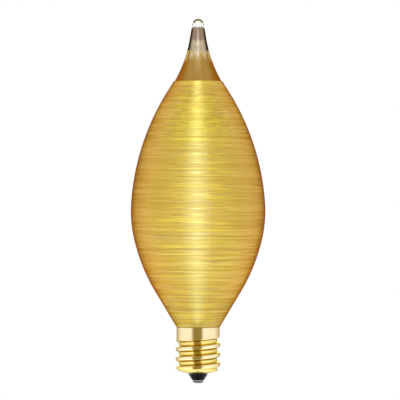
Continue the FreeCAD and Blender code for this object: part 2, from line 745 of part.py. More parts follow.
def glass_stem():
    """Flared stem tube whose top is pinched flat round the lead seals."""
    flare = "Sizes.flare_fillet"
    outer_flare = f"({flare} - Sizes.stem_wall)"
    body = turned("glass_stem", [
        ("Sizes.neck_radius", "flare_low"),
        ("Sizes.neck_radius", "Sizes.neck_low"),
        (f"Sizes.stem_radius + {outer_flare}", "Sizes.neck_low"),
        ("Sizes.stem_radius", f"Sizes.neck_low + {outer_flare}", ("+", outer_flare)),
        ("Sizes.stem_radius", "Sizes.press_low"),
        ("stem_bore", "Sizes.press_low"),
        ("stem_bore", f"flare_low + {flare}"),
        (f"stem_bore + {flare}", "flare_low", ("-", flare)),
    ])
    tube_end = new_sketch(body, "press_round", "XY_Plane", "Sizes.press_low")
    draw_circle(tube_end, "0", "0", "Sizes.stem_radius")
    flat_end = new_sketch(body, "press_oblong", "XY_Plane", "Sizes.press_flat")
    draw_press_section(flat_end)
    loft = body.newObject("PartDesign::AdditiveLoft", "press_shoulder")
    loft.Profile = tube_end
    loft.Sections = [flat_end]
    doc.recompute()
    pad_sketch = new_sketch(body, "press_pad_outline", "XY_Plane", "Sizes.press_flat")
    draw_press_section(pad_sketch)
    pad_feature(body, "press_pad", pad_sketch, "Sizes.press_top - Sizes.press_flat")
    doc.recompute()
    seals = new_sketch(body, "seal_holes_outline", "XY_Plane", "Sizes.press_low")
    draw_circle(seals, "0", "Sizes.lead_offset", "Sizes.seal_radius + Sizes.wire_gap")
    draw_circle(seals, "0", "0 - Sizes.lead_offset", "Sizes.seal_radius + Sizes.wire_gap")
    pocket_feature(body, "seal_holes", seals, "Sizes.press_top - Sizes.press_low", True)
    rise = new_sketch(body, "vent_rise_outline", "XY_Plane", "Sizes.press_low")
    draw_circle(rise, "0", "0", "exhaust_bore")
    pocket_feature(body, "vent_rise", rise, "Sizes.vent_height - Sizes.press_low", True)
    vent = new_sketch(body, "vent_outline", "YZ_Plane")
    draw_circle(vent, "0", "Sizes.vent_height", "Sizes.vent_radius")
    pocket_feature(body, "vent", vent, "Sizes.stem_radius", True)
    return body


def exhaust_tube():
    """Tube that the bulb was emptied through, sealed off at its lower end."""
    low = "Sizes.exhaust_low"
    top = "Sizes.press_low - Sizes.wire_gap"
    body = turned("exhaust_tube", [
        ("0", low),
        ("Sizes.exhaust_radius", f"{low} + Sizes.exhaust_radius", ("-", "Sizes.exhaust_radius")),
        ("Sizes.exhaust_radius", top),
        ("0", top),
    ])
    return hollowed(body, [
        ("0", f"{low} + Sizes.exhaust_seal"),
        ("exhaust_bore", f"{low} + Sizes.exhaust_seal + exhaust_bore", ("-", "exhaust_bore")),
        ("exhaust_bore", top),
        ("0", top),
    ])


def arbor_rod():
    """Glass rod on the press, its end melted into the button that holds the supports."""
    low = "Sizes.press_top + Sizes.wire_gap"
    rod = "Sizes.arbor_radius"
    edge = "Sizes.button_round"
    return turned("arbor_rod", [
        ("0", low),
        (rod, low),
        (rod, "arbor_top"),
        ("Sizes.button_radius", "button_low"),
        ("Sizes.button_radius", f"button_top - {edge}"),
        (f"Sizes.button_radius - {edge}", "button_top", ("-", edge)),
        ("0", "button_top"),
    ])


def outer_leads():
    """Copper leads from the seals: one round the neck to the skirt, one to the centre."""
    start = "Sizes.seal_low - Sizes.wire_gap"
    radius = "Sizes.outer_lead_radius"
    bend = "Sizes.outer_lead_bend"
    track = "Sizes.outer_lead_track"
    wire("side_lead", [
        ("Sizes.lead_offset", start),
        ("Sizes.lead_offset", "Sizes.outer_lead_low"),
        (track, "Sizes.outer_lead_low"),
        (track, "neck_bend - Sizes.outer_lead_bend"),
        ("Sizes.skirt_radius - Sizes.side_lead_turn", "side_hole_height"),
        ("Sizes.skirt_radius", "side_hole_height"),
    ], bend, radius)
    turn_low = "Sizes.insulator_top - Sizes.outer_lead_bend"
    wire("centre_lead", [
        ("0 - Sizes.lead_offset", start),
        ("0 - Sizes.lead_offset", turn_low),
        ("0", f"{turn_low} - Sizes.lead_offset"),
        ("0", "eyelet_low"),
    ], bend, radius)


def seal_wires():
    """The short wires in the press that the glass grips without a leak."""
    for name, side in (("side_seal_wire", "Sizes.lead_offset"),
                       ("centre_seal_wire", "-Sizes.lead_offset")):
        seal = part_object("Cylinder", name, Radius="Sizes.seal_radius",
                           Height="Sizes.seal_top - Sizes.seal_low")
        seal.setExpression("Placement.Base.y", side)
        seal.setExpression("Placement.Base.z", "Sizes.seal_low")


def inner_leads():
    """Nickel leads from the press up to the filament's two ends."""
    for name, sign in (("side_filament_lead", ""), ("centre_filament_lead", "0 - ")):
        wire(name, [
            (f"{sign}Sizes.lead_offset", "Sizes.seal_top + Sizes.wire_gap"),
            (f"{sign}Sizes.lead_offset", "Sizes.inner_lead_knee"),
            (f"{sign}Sizes.inner_lead_spread", "inner_lead_elbow"),
            (f"{sign}Sizes.inner_lead_spread", "inner_lead_top"),
        ], "Sizes.inner_lead_bend", "Sizes.inner_lead_radius")


def support_wires():
    """Molybdenum supports in the button, each ending in a loop round the filament."""
    stalk_top = "Sizes.filament_height - Sizes.support_loop"
    for name, side in (("side_support", "Sizes.support_offset"),
                       ("centre_support", "-Sizes.support_offset")):
        stalk = part_object("Cylinder", f"{name}_stalk", Radius="Sizes.support_radius",
                            Height=f"{stalk_top} - button_top")
        stalk.setExpression("Placement.Base.y", side)
        stalk.setExpression("Placement.Base.z", full("button_top"))
        loop = part_object("Torus", f"{name}_loop", Radius1="Sizes.support_loop",
                           Radius2="Sizes.support_radius")
        loop.Placement.Rotation = FreeCAD.Rotation(Vector(1, 0, 0), 90)
        loop.setExpression("Placement.Base.y", side)
        loop.setExpression("Placement.Base.z", "Sizes.filament_height")
        support = doc.addObject("Part::Fuse", name)
        support.Base = stalk
        support.Tool = loop
        support.Label = name
    doc.recompute()


def filament():
    """The coiled filament, as the round body of its fine turns."""
    foot = "inner_lead_top + Sizes.wire_gap"
    knee = f"{foot} + Sizes.filament_rise"
    span = "Sizes.filament_half_span"
    spread = "Sizes.inner_lead_spread"
    wire("filament", [
        (f"0 - {spread}", foot),
        (f"0 - {spread}", knee),
        (f"0 - {span}", "Sizes.filament_height"),
        (span, "Sizes.filament_height"),
        (spread, knee),
        (spread, foot),
    ], "Sizes.filament_bend", "Sizes.filament_radius")


# Envelope and wrap
glass_envelope()
spun_glass_wrap()

# Base
screw_shell()
base_insulator()
contact_eyelet()
centre_solder()
side_solder()
basing_cement()

# Mount inside the bulb
glass_stem()
exhaust_tube()
arbor_rod()
outer_leads()
seal_wires()
inner_leads()
support_wires()
filament()
doc.recompute()

NODES = [
    "glass_envelope", "spun_glass_wrap",
    "screw_shell", "base_insulator", "contact_eyelet", "centre_solder", "side_solder",
    "basing_cement",
    "glass_stem", "exhaust_tube", "arbor_rod",
    "side_lead", "centre_lead", "side_seal_wire", "centre_seal_wire",
    "side_filament_lead", "centre_filament_lead", "side_support", "centre_support",
    "filament",
]

for thing in doc.Objects:
    if "Invalid" in thing.State or "Error" in thing.State:
        raise RuntimeError(f"{thing.Name}: {thing.getStatusString()}")
for name in NODES:
    shape = doc.getObject(name).Shape
    if shape.isNull() or not shape.isValid() or len(shape.Solids) != 1:
        raise RuntimeError(f"{name}: no single valid solid")

os.makedirs("parts", exist_ok=True)
for name in NODES:
    shape = doc.getObject(name).Shape
    shape.exportStep(f"parts/{name}.step")
    print(f"{name}: {shape.Volume:.3f} cubic mm")
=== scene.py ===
import random
from functools import cached_property
from math import asin, atan, atan2, cos, exp, hypot, pi, radians, sin, sqrt, tan

import bmesh
import bpy
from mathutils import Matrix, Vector


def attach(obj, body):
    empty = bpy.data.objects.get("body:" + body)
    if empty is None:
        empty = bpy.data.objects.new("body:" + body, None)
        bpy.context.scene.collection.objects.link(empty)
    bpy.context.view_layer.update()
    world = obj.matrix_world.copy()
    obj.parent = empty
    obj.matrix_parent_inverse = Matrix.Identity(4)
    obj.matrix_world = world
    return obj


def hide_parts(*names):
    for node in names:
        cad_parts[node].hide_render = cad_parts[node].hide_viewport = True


# Candle bulb wound with spun glass fibre, on a small brass screw base. The bulb stands on the
# Z axis with its tip up, and the origin is the lowest point of the centre contact.

bl_info = {
    "name": "Spun Glass Candle Bulb",
    "version": (1, 0, 0),
    "blender": (4, 5, 0),
    "location": "3D View > Sidebar > Candle Bulb",
    "description": "Blown glass, wound fibre, rolled brass base and studio of a candle bulb",
    "category": "Object",
}

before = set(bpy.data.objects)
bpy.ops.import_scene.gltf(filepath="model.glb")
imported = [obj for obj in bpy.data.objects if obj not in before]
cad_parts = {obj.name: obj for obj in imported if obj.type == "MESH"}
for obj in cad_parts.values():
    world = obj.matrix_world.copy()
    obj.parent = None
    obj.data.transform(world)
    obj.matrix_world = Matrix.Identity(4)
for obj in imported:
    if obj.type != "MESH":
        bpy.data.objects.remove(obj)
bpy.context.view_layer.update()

MM = 0.001
FULL_TURN = 2 * pi
QUARTER_TURN = pi / 2
UP = (0.0, 0.0, 1.0)
BLACK = (0.0, 0.0, 0.0)
WHITE = (1.0, 1.0, 1.0)
# Steps of the full turn of a small turned piece.
SMALL_STEPS = 72


def length(name, description, millimetres):
    """A length in a property group, given in millimetres."""
    return bpy.props.FloatProperty(
        name=name, description=description, default=millimetres * MM,
        min=0.0, precision=5, subtype="DISTANCE", unit="LENGTH")


def angle(name, description, degrees):
    """An angle in a property group, given in degrees."""
    return bpy.props.FloatProperty(
        name=name, description=description, default=radians(degrees),
        subtype="ANGLE", unit="ROTATION")


def amount(name, description, default, most=1.0):
    """A plain number in a property group."""
    return bpy.props.FloatProperty(
        name=name, description=description, default=default, min=0.0, max=most)


def colour(name, description, code):
    """A colour in a property group, from its hexadecimal screen code."""
    levels = [int(code[place:place + 2], 16) / 255 for place in (0, 2, 4)]
    return bpy.props.FloatVectorProperty(
        name=name, description=description, default=[linear(level) for level in levels],
        size=3, min=0.0, max=1.0, subtype="COLOR")


def linear(level):
    """The linear light of one screen level."""
    return level / 12.92 if level <= 0.04045 else ((level + 0.055) / 1.055) ** 2.4


class GlassSizes(bpy.types.PropertyGroup):
    """Outline of the blown glass, as in the solid model."""
    tip_height: length("Tip height", "Top of the bead above the contact", 95.5)
    bead_radius: length("Bead radius", "Radius of the melted bead", 1.5)
    bead_length: length("Bead length", "From the shoulder to the top", 2.45)
    shoulder_radius: length("Shoulder radius", "Taper's upper end", 1.72)
    shoulder_step: length("Shoulder step", "Rise from the shoulder in to the bead", 0.14)
    belly_height: length("Belly height", "Height of the widest place", 45.1)
    belly_radius: length("Belly radius", "Radius of the widest place", 17.45)
    belly_arc: length("Belly arc", "Radius of the outline at the belly", 32.25)
    wall: length("Wall", "Thickness of the blown glass", 0.6)
    neck_radius: length("Neck radius", "Outer radius of the neck tube", 4.35)
    neck_low: length("Neck end", "Height of the neck's lower end", 6.2)
    neck_fillet: length("Neck bend", "Bend from the neck into the cone", 2.0)
    hollow_end: length("Hollow end", "Radius of the hollow's upper end", 1.3)
    dip_height: length("Dip", "Height of the lacquer's upper edge", 87.2)
    foot_ratio: amount("Foot slope", "Slope of the foot joint over the lower slope", 0.605, 4.0)
    cone_ratio: amount("Cone slope", "Slope of the cone over the lower slope", 1.465, 4.0)
    crown_ratio: amount("Crown slope", "Slope of the crown joint over the upper slope", 0.22, 4.0)
    waist_ratio: amount("Waist slope", "Slope of the waist joint over the upper slope", 1.836, 4.0)
    tip_ratio: amount("Tip slope", "Slope of the taper over the upper slope", 0.51, 4.0)
    hollow_ratio: amount("Hollow slope", "Slope of its end over the upper slope", 1.206, 4.0)
    waist_share: amount("Waist arc", "Radius of the waist arc over the crown arc", 0.531, 4.0)


class FibreSizes(bpy.types.PropertyGroup):
    """The wound fibre layer and its lines."""
    thickness: length("Thickness", "Thickness of fibre and lacquer", 0.2)
    gap: length("Gap", "Clearance to the glass", 0.02)
    seat: length("Seat", "Clearance above the shell's rim", 0.05)
    end_share: amount("End", "Place of the upper edge along the waist arc", 0.135)
    ring_step: length("Ring step", "Height of one ring of faces", 0.105)
    strand: length("Strand", "Mean width of one visible strand", 0.8)
    strand_depth: length("Strand depth", "Depth between two strands", 0.03)
    band: length("Band", "Mean height of a band of strands", 5.5)
    band_depth: length("Band depth", "Depth of the line between two bands", 0.075)
    lacquer_band: length("Lacquer band", "Plain lacquered band at the upper edge", 1.25)
    sway: length("Sway", "How far strands sway near the crown", 0.3)


class ShellSizes(bpy.types.PropertyGroup):
    """The rolled screw shell."""
    rim_height: length("Rim height", "Upper rim above the contact", 14.65)
    skirt_radius: length("Skirt radius", "Plain skirt above the thread", 5.68)
    skirt_step: length("Skirt step", "Height where the skirt begins", 10.9)
    skirt_chamfer: length("Skirt chamfer", "Height of the step into the skirt", 0.4)
    crest_radius: length("Crest radius", "Thread crest", 5.88)
    thread_depth: length("Thread depth", "Crest to root", 0.85)
    thread_pitch: length("Pitch", "Height of one turn", 2.54)
    crest_flat: length("Crest flat", "Plain strip on the crest", 0.1)
    thread_low: length("Thread start", "Height of the groove's start", 1.21)
    thread_runout: length("Run-out", "How far the last groove moves out", 0.95)
    runout_turns: amount("Run-out turns", "Turns of the last groove", 0.5)
    thread_turns: amount("Turns", "Turns of the full groove", 4, 12)
    sheet: length("Sheet", "Thickness of the brass sheet", 0.2)
    lip_low: length("Lip height", "Lowest edge of the lip", 2.65)
    lip_angle: angle("Lip slope", "Slope of the turned-in lip", 15)
    lip_arc: length("Lip bend", "Bend from the wall into the lip", 1.5)
    lip_opening: length("Lip opening", "Radius of the opening in the lip", 3.1)


class ContactSizes(bpy.types.PropertyGroup):
    """Insulator, eyelet and solder."""
    insulator_low: length("Insulator end", "Lower end of the black cone", 0.8)
    insulator_low_radius: length("Cone end radius", "Radius of the cone's lower end", 1.62)
    cone_radius: length("Cone radius", "Radius of the cone's upper end", 2.65)
    cone_top: length("Cone top", "Height of the cone's upper end", 2.5)
    insulator_radius: length("Insulator radius", "Radius inside the shell", 4.4)
    insulator_top: length("Insulator top", "Upper edge inside the shell", 4.8)
    cup_floor: length("Cup floor", "Floor of the cup", 2.42)
    cup_floor_radius: length("Cup floor radius", "Radius of the cup's floor", 1.5)
    cup_rim_radius: length("Cup rim radius", "Radius of the cup's rim", 3.6)
    mould_round: length("Mould round", "Rounding of moulded edges", 0.16)
    eyelet_sheet: length("Eyelet sheet", "Thickness of the eyelet", 0.16)
    eyelet_radius: length("Eyelet radius", "Radius of the eyelet's flange", 1.45)
    barrel_radius: length("Barrel radius", "Radius of the eyelet's barrel", 0.75)
    curl_radius: length("Curl radius", "Radius of the eyelet's inner curl", 1.2)
    solder_flat: length("Solder flat", "Radius of the flat on the solder", 0.75)
    solder_gap: length("Solder gap", "Clearance to the eyelet", 0.02)
    drop_radius: length("Drop radius", "Radius of the side solder's drop", 0.95)
    drop_proud: length("Drop height", "How far the side drop stands proud", 0.45)
    drop_height: length("Drop place", "Height of the side drop", 13.25)


class Finishes(bpy.types.PropertyGroup):
    """Colours of the bulb's finishes."""
    fibre: colour("Fibre", "Lacquered fibre", "BE940E")
    # Real light strands, and also the painted highlight at the crown's middle and painted
    # highlight lines on the highlight's flank.
    fibre_light_and_highlight: colour("Light fibre", "Strands with thin lacquer", "E0C628")
    fibre_dark: colour("Dark lines", "Lacquer between strands", "96701A")
    # Partly the amber lacquer seen at a slant, partly painted shade on the wrap's sides.
    fibre_side_shade: colour("Fibre side", "Fibre seen at a slant", "DD9A08")
    # Real lines at the lacquer band's edges, and the painted dark outline where the fibre is seen
    # along its face.
    fibre_line_and_edge_shade: colour("Fibre edge", "Lacquer seen along the surface", "B05C0C")
    amber: colour("Amber", "Lacquer on the bare waist", "A98312")
    # Painted shade on the lacquered waist's sides and in its outline.
    amber_side_shade: colour("Amber side", "Lacquer seen at a slant", "9A6C20")
    # Painted highlight: a bright line in the waist's outline below the dip.
    amber_edge_highlight: colour("Amber glow", "Bright line below the dip", "CDB464")
    # Painted shade: the dark outline along the lacquered waist's edge.
    neck_edge_shade: colour("Neck edge", "Outline of the lacquered waist", "A8641C")
    bead: colour("Bead", "Clear glass of the bead", "F4F2EE")
    clear: colour("Clear glass", "Clear part of the tip", "BAA786")
    smoke: colour("Tip glass", "Solid part of the tip", "8F765B")
    # Painted shade: dark edges of the clear tip, where dark surroundings would be seen through the
    # glass.
    glass_edge_shade: colour("Glass edge", "Solid glass seen along its surface", "3A2614")
    # Real thin lacquer at the dip's edge, and also the painted glow inside the hollow's end.
    dip: colour("Dip edge", "Thin lacquer at the dip's edge", "E9DFC6")
    # Olive colour painted along the bead's upper edge where it is seen at a slant.
    bead_top: colour("Bead top", "Lacquer drop on the bead", "7E6E04")
    bead_foot: colour("Bead foot", "Shade at the bead's foot", "A3AFA4")
    brass: colour("Brass", "Polished sheet brass", "FFEFC0")
    brass_deep: colour("Deep brass", "Brass in tarnished places", "F0CF80")
    # Painted shade: the brass darkened where it is seen at a slant.
    brass_side_shade: colour("Brass side", "Brass seen at a slant", "A87A24")
    # Painted reflection: a deeper yellow on the thread's flanks and the lip, of the same brass.
    brass_flank_reflection: colour("Brass flank", "Brass on the thread's flanks", "FFDC2C")
    # Painted shade: dark brass along the crest's slanted edges and the outline.
    brass_brow_shade: colour("Brass brow", "Brass along the crest's edges", "6E5A14")
    black_glass: colour("Black glass", "Moulded insulator", "050404")
    tin: colour("Tin", "Tinned eyelet", "D8D6D0")
    solder: colour("Solder", "Dull tin solder", "6A6A6C")


class StudioSizes(bpy.types.PropertyGroup):
    """Camera, lamps and floor."""
    camera_distance: length("Camera distance", "Camera to the bulb's axis", 700)
    camera_height: length("Camera height", "Camera above the contact", 47.98)
    camera_aside: length("Camera aside", "Camera right of the axis", 0.5)
    view_width: length("View width", "Width of the picture at the axis", 104.9)
    floor_drop: length("Floor", "Floor below the contact", 40)
    world_light: amount("World light", "Strength of the soft light from all sides", 0.38, 10)


def outline_angles(glass, shell):
    """Angles of the outline's joints above or below the horizontal."""
    lower = atan((glass.belly_radius - shell.skirt_radius)
                 / (glass.belly_height - shell.rim_height))
    shoulder = glass.tip_height - glass.bead_length
    upper = atan((glass.belly_radius - glass.shoulder_radius)
                 / (shoulder - glass.belly_height))
    return {
        "foot": glass.foot_ratio * lower,
        "cone": glass.cone_ratio * lower,
        "crown": glass.crown_ratio * upper,
        "waist": glass.waist_ratio * upper,
        "tip": glass.tip_ratio * upper,
        "hollow": glass.hollow_ratio * upper,
    }


def outline_arcs(glass, shell, fibre):
    """Centre (radius, height) and radius of the outline's tangent arcs."""
    at = outline_angles(glass, shell)
    level = {joint: cos(turn) for joint, turn in at.items()}
    plumb = {joint: sin(turn) for joint, turn in at.items()}
    lean = tan(at["cone"])
    share = glass.waist_share
    seat = shell.skirt_radius - fibre.thickness / level["cone"]
    belly = (glass.belly_radius - glass.belly_arc, glass.belly_height)
    foot_joint = on_arc(belly, glass.belly_arc, -at["foot"])
    foot_arc = ((foot_joint[0] - seat - (foot_joint[1] - shell.rim_height) * lean)
                / (level["foot"] - level["cone"] - (plumb["cone"] - plumb["foot"]) * lean))
    crown_joint = on_arc(belly, glass.belly_arc, at["crown"])
    across = crown_joint[0] - glass.shoulder_radius
    upward = glass.tip_height - glass.bead_length - crown_joint[1]
    drop = level["crown"] - level["waist"] + share * (level["tip"] - level["waist"])
    rise = plumb["waist"] - plumb["crown"] + share * (plumb["waist"] - plumb["tip"])
    crown_arc = ((across * level["tip"] - upward * plumb["tip"])
                 / (drop * level["tip"] - rise * plumb["tip"]))
    crown = on_arc(crown_joint, -crown_arc, at["crown"])
    waist_arc = share * crown_arc
    return {
        "seat": seat,
        "foot": (on_arc(foot_joint, -foot_arc, -at["foot"]), foot_arc),
        "belly": (belly, glass.belly_arc),
        "crown": (crown, crown_arc),
        "waist": (on_arc(crown, crown_arc + waist_arc, at["waist"]), waist_arc),
    }


def on_arc(centre, reach, turn):
    """Point at an angle on an arc: (radius, height) in the outline, (x, y) round the axis."""
    return centre[0] + reach * cos(turn), centre[1] + reach * sin(turn)


def thread_arc(shell):
    """Half the height of the thread's groove, and the radius of its arcs."""
    half = (shell.thread_pitch - shell.crest_flat) / 2
    return half, (half ** 2 + shell.thread_depth ** 2) / (4 * shell.thread_depth)


def lip_bend_height(shell):
    """Height of the centre of the lip's bend."""
    slope = shell.lip_angle
    start = shell.crest_radius - shell.lip_arc + shell.lip_arc * sin(slope)
    return (shell.lip_low + shell.lip_arc * cos(slope)
            + (start - shell.lip_opening) * tan(slope))


def merge(mesh, near=1e-7):
    """Merges doubled vertices."""
    bmesh.ops.remove_doubles(mesh, verts=mesh.verts[:], dist=near)


def cleaned(mesh):
    """The mesh without doubles and with its faces turned outwards."""
    merge(mesh)
    bmesh.ops.recalc_face_normals(mesh, faces=mesh.faces[:])
    return mesh


def turn_round(mesh, steps, turns=1, rise=0.0):
    """Spins a profile round the bulb's axis. A turn that doesn't rise closes on itself."""
    bmesh.ops.spin(
        mesh, geom=mesh.verts[:] + mesh.edges[:], cent=(0.0, 0.0, 0.0), axis=UP,
        dvec=(0.0, 0.0, rise), angle=turns * FULL_TURN, steps=turns * steps,
        use_merge=rise == 0.0)


def cut(mesh, place, direction, **cleared):
    """Cuts the mesh along a plane and clears its inner or outer side where that is asked."""
    bmesh.ops.bisect_plane(
        mesh, geom=mesh.verts[:] + mesh.edges[:] + mesh.faces[:], dist=1e-8,
        plane_co=place, plane_no=direction, **cleared)


def soften(mesh, width, degrees=20):
    """Rounds the edges whose faces meet at more than an angle."""
    sharp = [edge for edge in mesh.edges if edge.calc_face_angle() > radians(degrees)]
    bmesh.ops.bevel(
        mesh, geom=sharp, offset=width, offset_type="OFFSET", affect="EDGES", segments=3,
        profile=0.5, material=-1, clamp_overlap=True)
    bmesh.ops.recalc_face_normals(mesh, faces=mesh.faces[:])


def sharpen(mesh, degrees):
    """Marks the edges whose faces meet at more than an angle, so that shading stops there."""
    limit = radians(degrees)
    for edge in mesh.edges:
        edge.smooth = len(edge.link_faces) == 2 and edge.calc_face_angle() < limit


class Outline:
    """A half outline in the XZ plane that grows from its last point by runs and arcs,
    and is then turned round the bulb's axis."""

    def __init__(self, radius, height):
        self.mesh = bmesh.new()
        self.last = self.mesh.verts.new((radius, 0.0, height))

    def run(self, radius, height, parts=1):
        """A straight run to a point, in equal parts."""
        start = self.last.co.copy()
        end = Vector((radius, 0.0, height))
        for part in range(1, parts + 1):
            grown = bmesh.ops.extrude_vert_indiv(self.mesh, verts=[self.last])
            self.last = grown["verts"][0]
            self.last.co = start.lerp(end, part / parts)

    def arc(self, centre, turn, parts):
        """An arc round a centre, anticlockwise where the turn is positive."""
        swept = bmesh.ops.spin(
            self.mesh, geom=[self.last], cent=(centre[0], 0.0, centre[1]),
            axis=(0.0, -1.0, 0.0), angle=turn, steps=parts)
        self.last = next(item for item in swept["geom_last"]
                         if isinstance(item, bmesh.types.BMVert))

    def turned(self, steps):
        """Spins the outline once round the axis and hands over its mesh."""
        merge(self.mesh)
        turn_round(self.mesh, steps)
        return cleaned(self.mesh)


def turned_through(points):
    """The mesh of a closed outline through points (radius, height), turned round the axis."""
    outline = Outline(*points[-1])
    for point in points:
        outline.run(*point)
    return outline.turned(SMALL_STEPS)


def new_object(name, data, place=(0.0, 0.0, 0.0), turn=(0.0, 0.0, 0.0)):
    """An object in the scene, at a place and turned."""
    made = bpy.data.objects.new(name, data)
    made.location = place
    made.rotation_euler = turn
    bpy.context.scene.collection.objects.link(made)
    return made


def mesh_object(name, mesh, material):
    """An object in the scene with the mesh and its material."""
    data = bpy.data.meshes.new(name)
    mesh.to_mesh(data)
    mesh.free()
    data.materials.append(material)
    return new_object(name, data)


def finish_piece(name, mesh, material, node):
    """The piece's object, riding on the bulb and standing for its solid."""
    piece = mesh_object(name, mesh, material)
    piece.data.shade_smooth()
    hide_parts(node)
    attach(piece, "root")
    return piece


class Value:
    """A number in a material, with the arithmetic of Python."""

    def __init__(self, shader, socket):
        self.shader = shader
        self.socket = socket

    def math(self, operation, *inputs):
        """Another value from this one and further inputs."""
        return self.shader.math(operation, self, *inputs)

    def __add__(self, other):
        return self.math("ADD", other)

    def __sub__(self, other):
        return self.math("SUBTRACT", other)

    def __rsub__(self, other):
        return self.shader.math("SUBTRACT", other, self)

    def __mul__(self, other):
        return self.math("MULTIPLY", other)

    def __pow__(self, other):
        return self.math("POWER", other)

    __radd__ = __add__
    __rmul__ = __mul__

    def most(self, other):
        """The greater of two values."""
        return self.math("MAXIMUM", other)

    def abs(self):
        """Its distance from nought."""
        return self.math("ABSOLUTE")

    def step(self, low, high):
        """Nought below the low end, one above the high end, and smooth between."""
        return self.shader.value(
            "ShaderNodeMapRange", "Result", {"interpolation_type": "SMOOTHSTEP"},
            {"Value": self, "From Min": low, "From Max": high, "To Min": 0.0, "To Max": 1.0})

    def peak(self, middle, half):
        """One at the middle, falling to nought at half a width away."""
        return 1 - (self - middle).abs().step(0.0, half)


class Shader:
    """The nodes of a new material or world, built from a few kinds of step."""

    def __init__(self, name, kind="materials"):
        self.owner = getattr(bpy.data, kind).new(name)
        self.owner.use_nodes = True
        self.tree = self.owner.node_tree
        self.tree.nodes.clear()

    def node(self, kind, settings=None, inputs=None):
        """Adds a node: its settings first, then the values or links of its sockets."""
        made = self.tree.nodes.new(kind)
        for key, setting in (settings or {}).items():
            setattr(made, key, setting)
        for key, given in (inputs or {}).items():
            if isinstance(given, Value):
                given = given.socket
            socket = made.inputs[key]
            if isinstance(given, bpy.types.NodeSocket):
                self.tree.links.new(given, socket)
            else:
                socket.default_value = (*given, 1.0) if socket.type == "RGBA" else given
        return made

    def value(self, kind, output, settings=None, inputs=None):
        """The value at an output of a new node."""
        return Value(self, self.node(kind, settings, inputs).outputs[output])

    def math(self, operation, *inputs):
        """The value that an operation makes of values and numbers."""
        return self.value("ShaderNodeMath", 0, {"operation": operation},
                          dict(enumerate(inputs)))

    @cached_property
    def places(self):
        """Object coordinates in millimetres."""
        own = self.node("ShaderNodeTexCoord").outputs["Object"]
        return self.node("ShaderNodeVectorMath", {"operation": "SCALE"},
                         {0: own, "Scale": 1 / MM}).outputs["Vector"]

    def axes(self):
        """The three coordinates as values."""
        parts = self.node("ShaderNodeSeparateXYZ", None, {"Vector": self.places})
        return [Value(self, parts.outputs[axis]) for axis in "XYZ"]

    def noise(self, stretch=None, shift=(0.0, 0.0, 0.0), scale=1.0, detail=2.0, roughness=0.5):
        """Smooth random value from nought to one, over stretched and shifted places."""
        places = self.places
        if stretch:
            places = self.node(
                "ShaderNodeMapping", None,
                {"Vector": places, "Scale": stretch, "Location": shift}).outputs["Vector"]
        return self.value(
            "ShaderNodeTexNoise", "Fac", {"noise_dimensions": "3D"},
            {"Vector": places, "Scale": scale, "Detail": detail, "Roughness": roughness})

    def attribute(self, name):
        """A value kept at the piece's vertices."""
        return self.value("ShaderNodeAttribute", "Fac",
                          {"attribute_type": "GEOMETRY", "attribute_name": name})

    def facing(self):
        """Nought where the surface faces the eye, one along its edge."""
        return self.value("ShaderNodeLayerWeight", "Facing", None, {"Blend": 0.5})

    def rays(self, *kinds):
        """One for rays of these kinds."""
        path = self.node("ShaderNodeLightPath")
        seen = Value(self, path.outputs[kinds[0]])
        for kind in kinds[1:]:
            seen = seen.most(Value(self, path.outputs[kind]))
        return seen

    def mix(self, mask, first, second):
        """One colour blended into another."""
        made = self.node("ShaderNodeMix", {"data_type": "RGBA"},
                         {"Factor": mask, 6: first, 7: second})
        return made.outputs[2]

    def layers(self, body, *coats):
        """A colour with others laid over it in turn, each given after its mask."""
        for mask, coat in coats:
            body = self.mix(mask, body, coat)
        return body

    def bump(self, height, distance, strength=1.0):
        """Normal of a surface with this relief."""
        return self.node("ShaderNodeBump", None,
                         {"Height": height, "Distance": distance,
                          "Strength": strength}).outputs["Normal"]

    def principled(self, **inputs):
        """A principled surface, with sockets named by words joined by underscores."""
        sockets = {word.replace("_", " "): given for word, given in inputs.items()}
        return self.node("ShaderNodeBsdfPrincipled", None, sockets).outputs["BSDF"]

    def edged(self, surface, edge, shade):
        """The finished surface, with a matt painted edge shade where it is seen along its face."""
        matt = self.principled(Base_Color=shade, Roughness=1.0, Specular_IOR_Level=0.0)
        return self.blended(edge, surface, matt)

    def nothing(self):
        """A surface that lets all light through."""
        return self.node("ShaderNodeBsdfTransparent").outputs["BSDF"]

    def blended(self, mask, first, second):
        """The finished blend of one surface into another."""
        mixed = self.node("ShaderNodeMixShader", None, {0: mask, 1: first, 2: second})
        return self.finished(mixed.outputs["Shader"])

    def finished(self, surface, output="ShaderNodeOutputMaterial"):
        """Joins the surface to the output."""
        self.node(output, None, {"Surface": surface})
        return self.owner

    def surface(self, **inputs):
        """The finished material of one principled surface."""
        return self.finished(self.principled(**inputs))


# In the materials, heights and distances are in millimetres, as the places are.

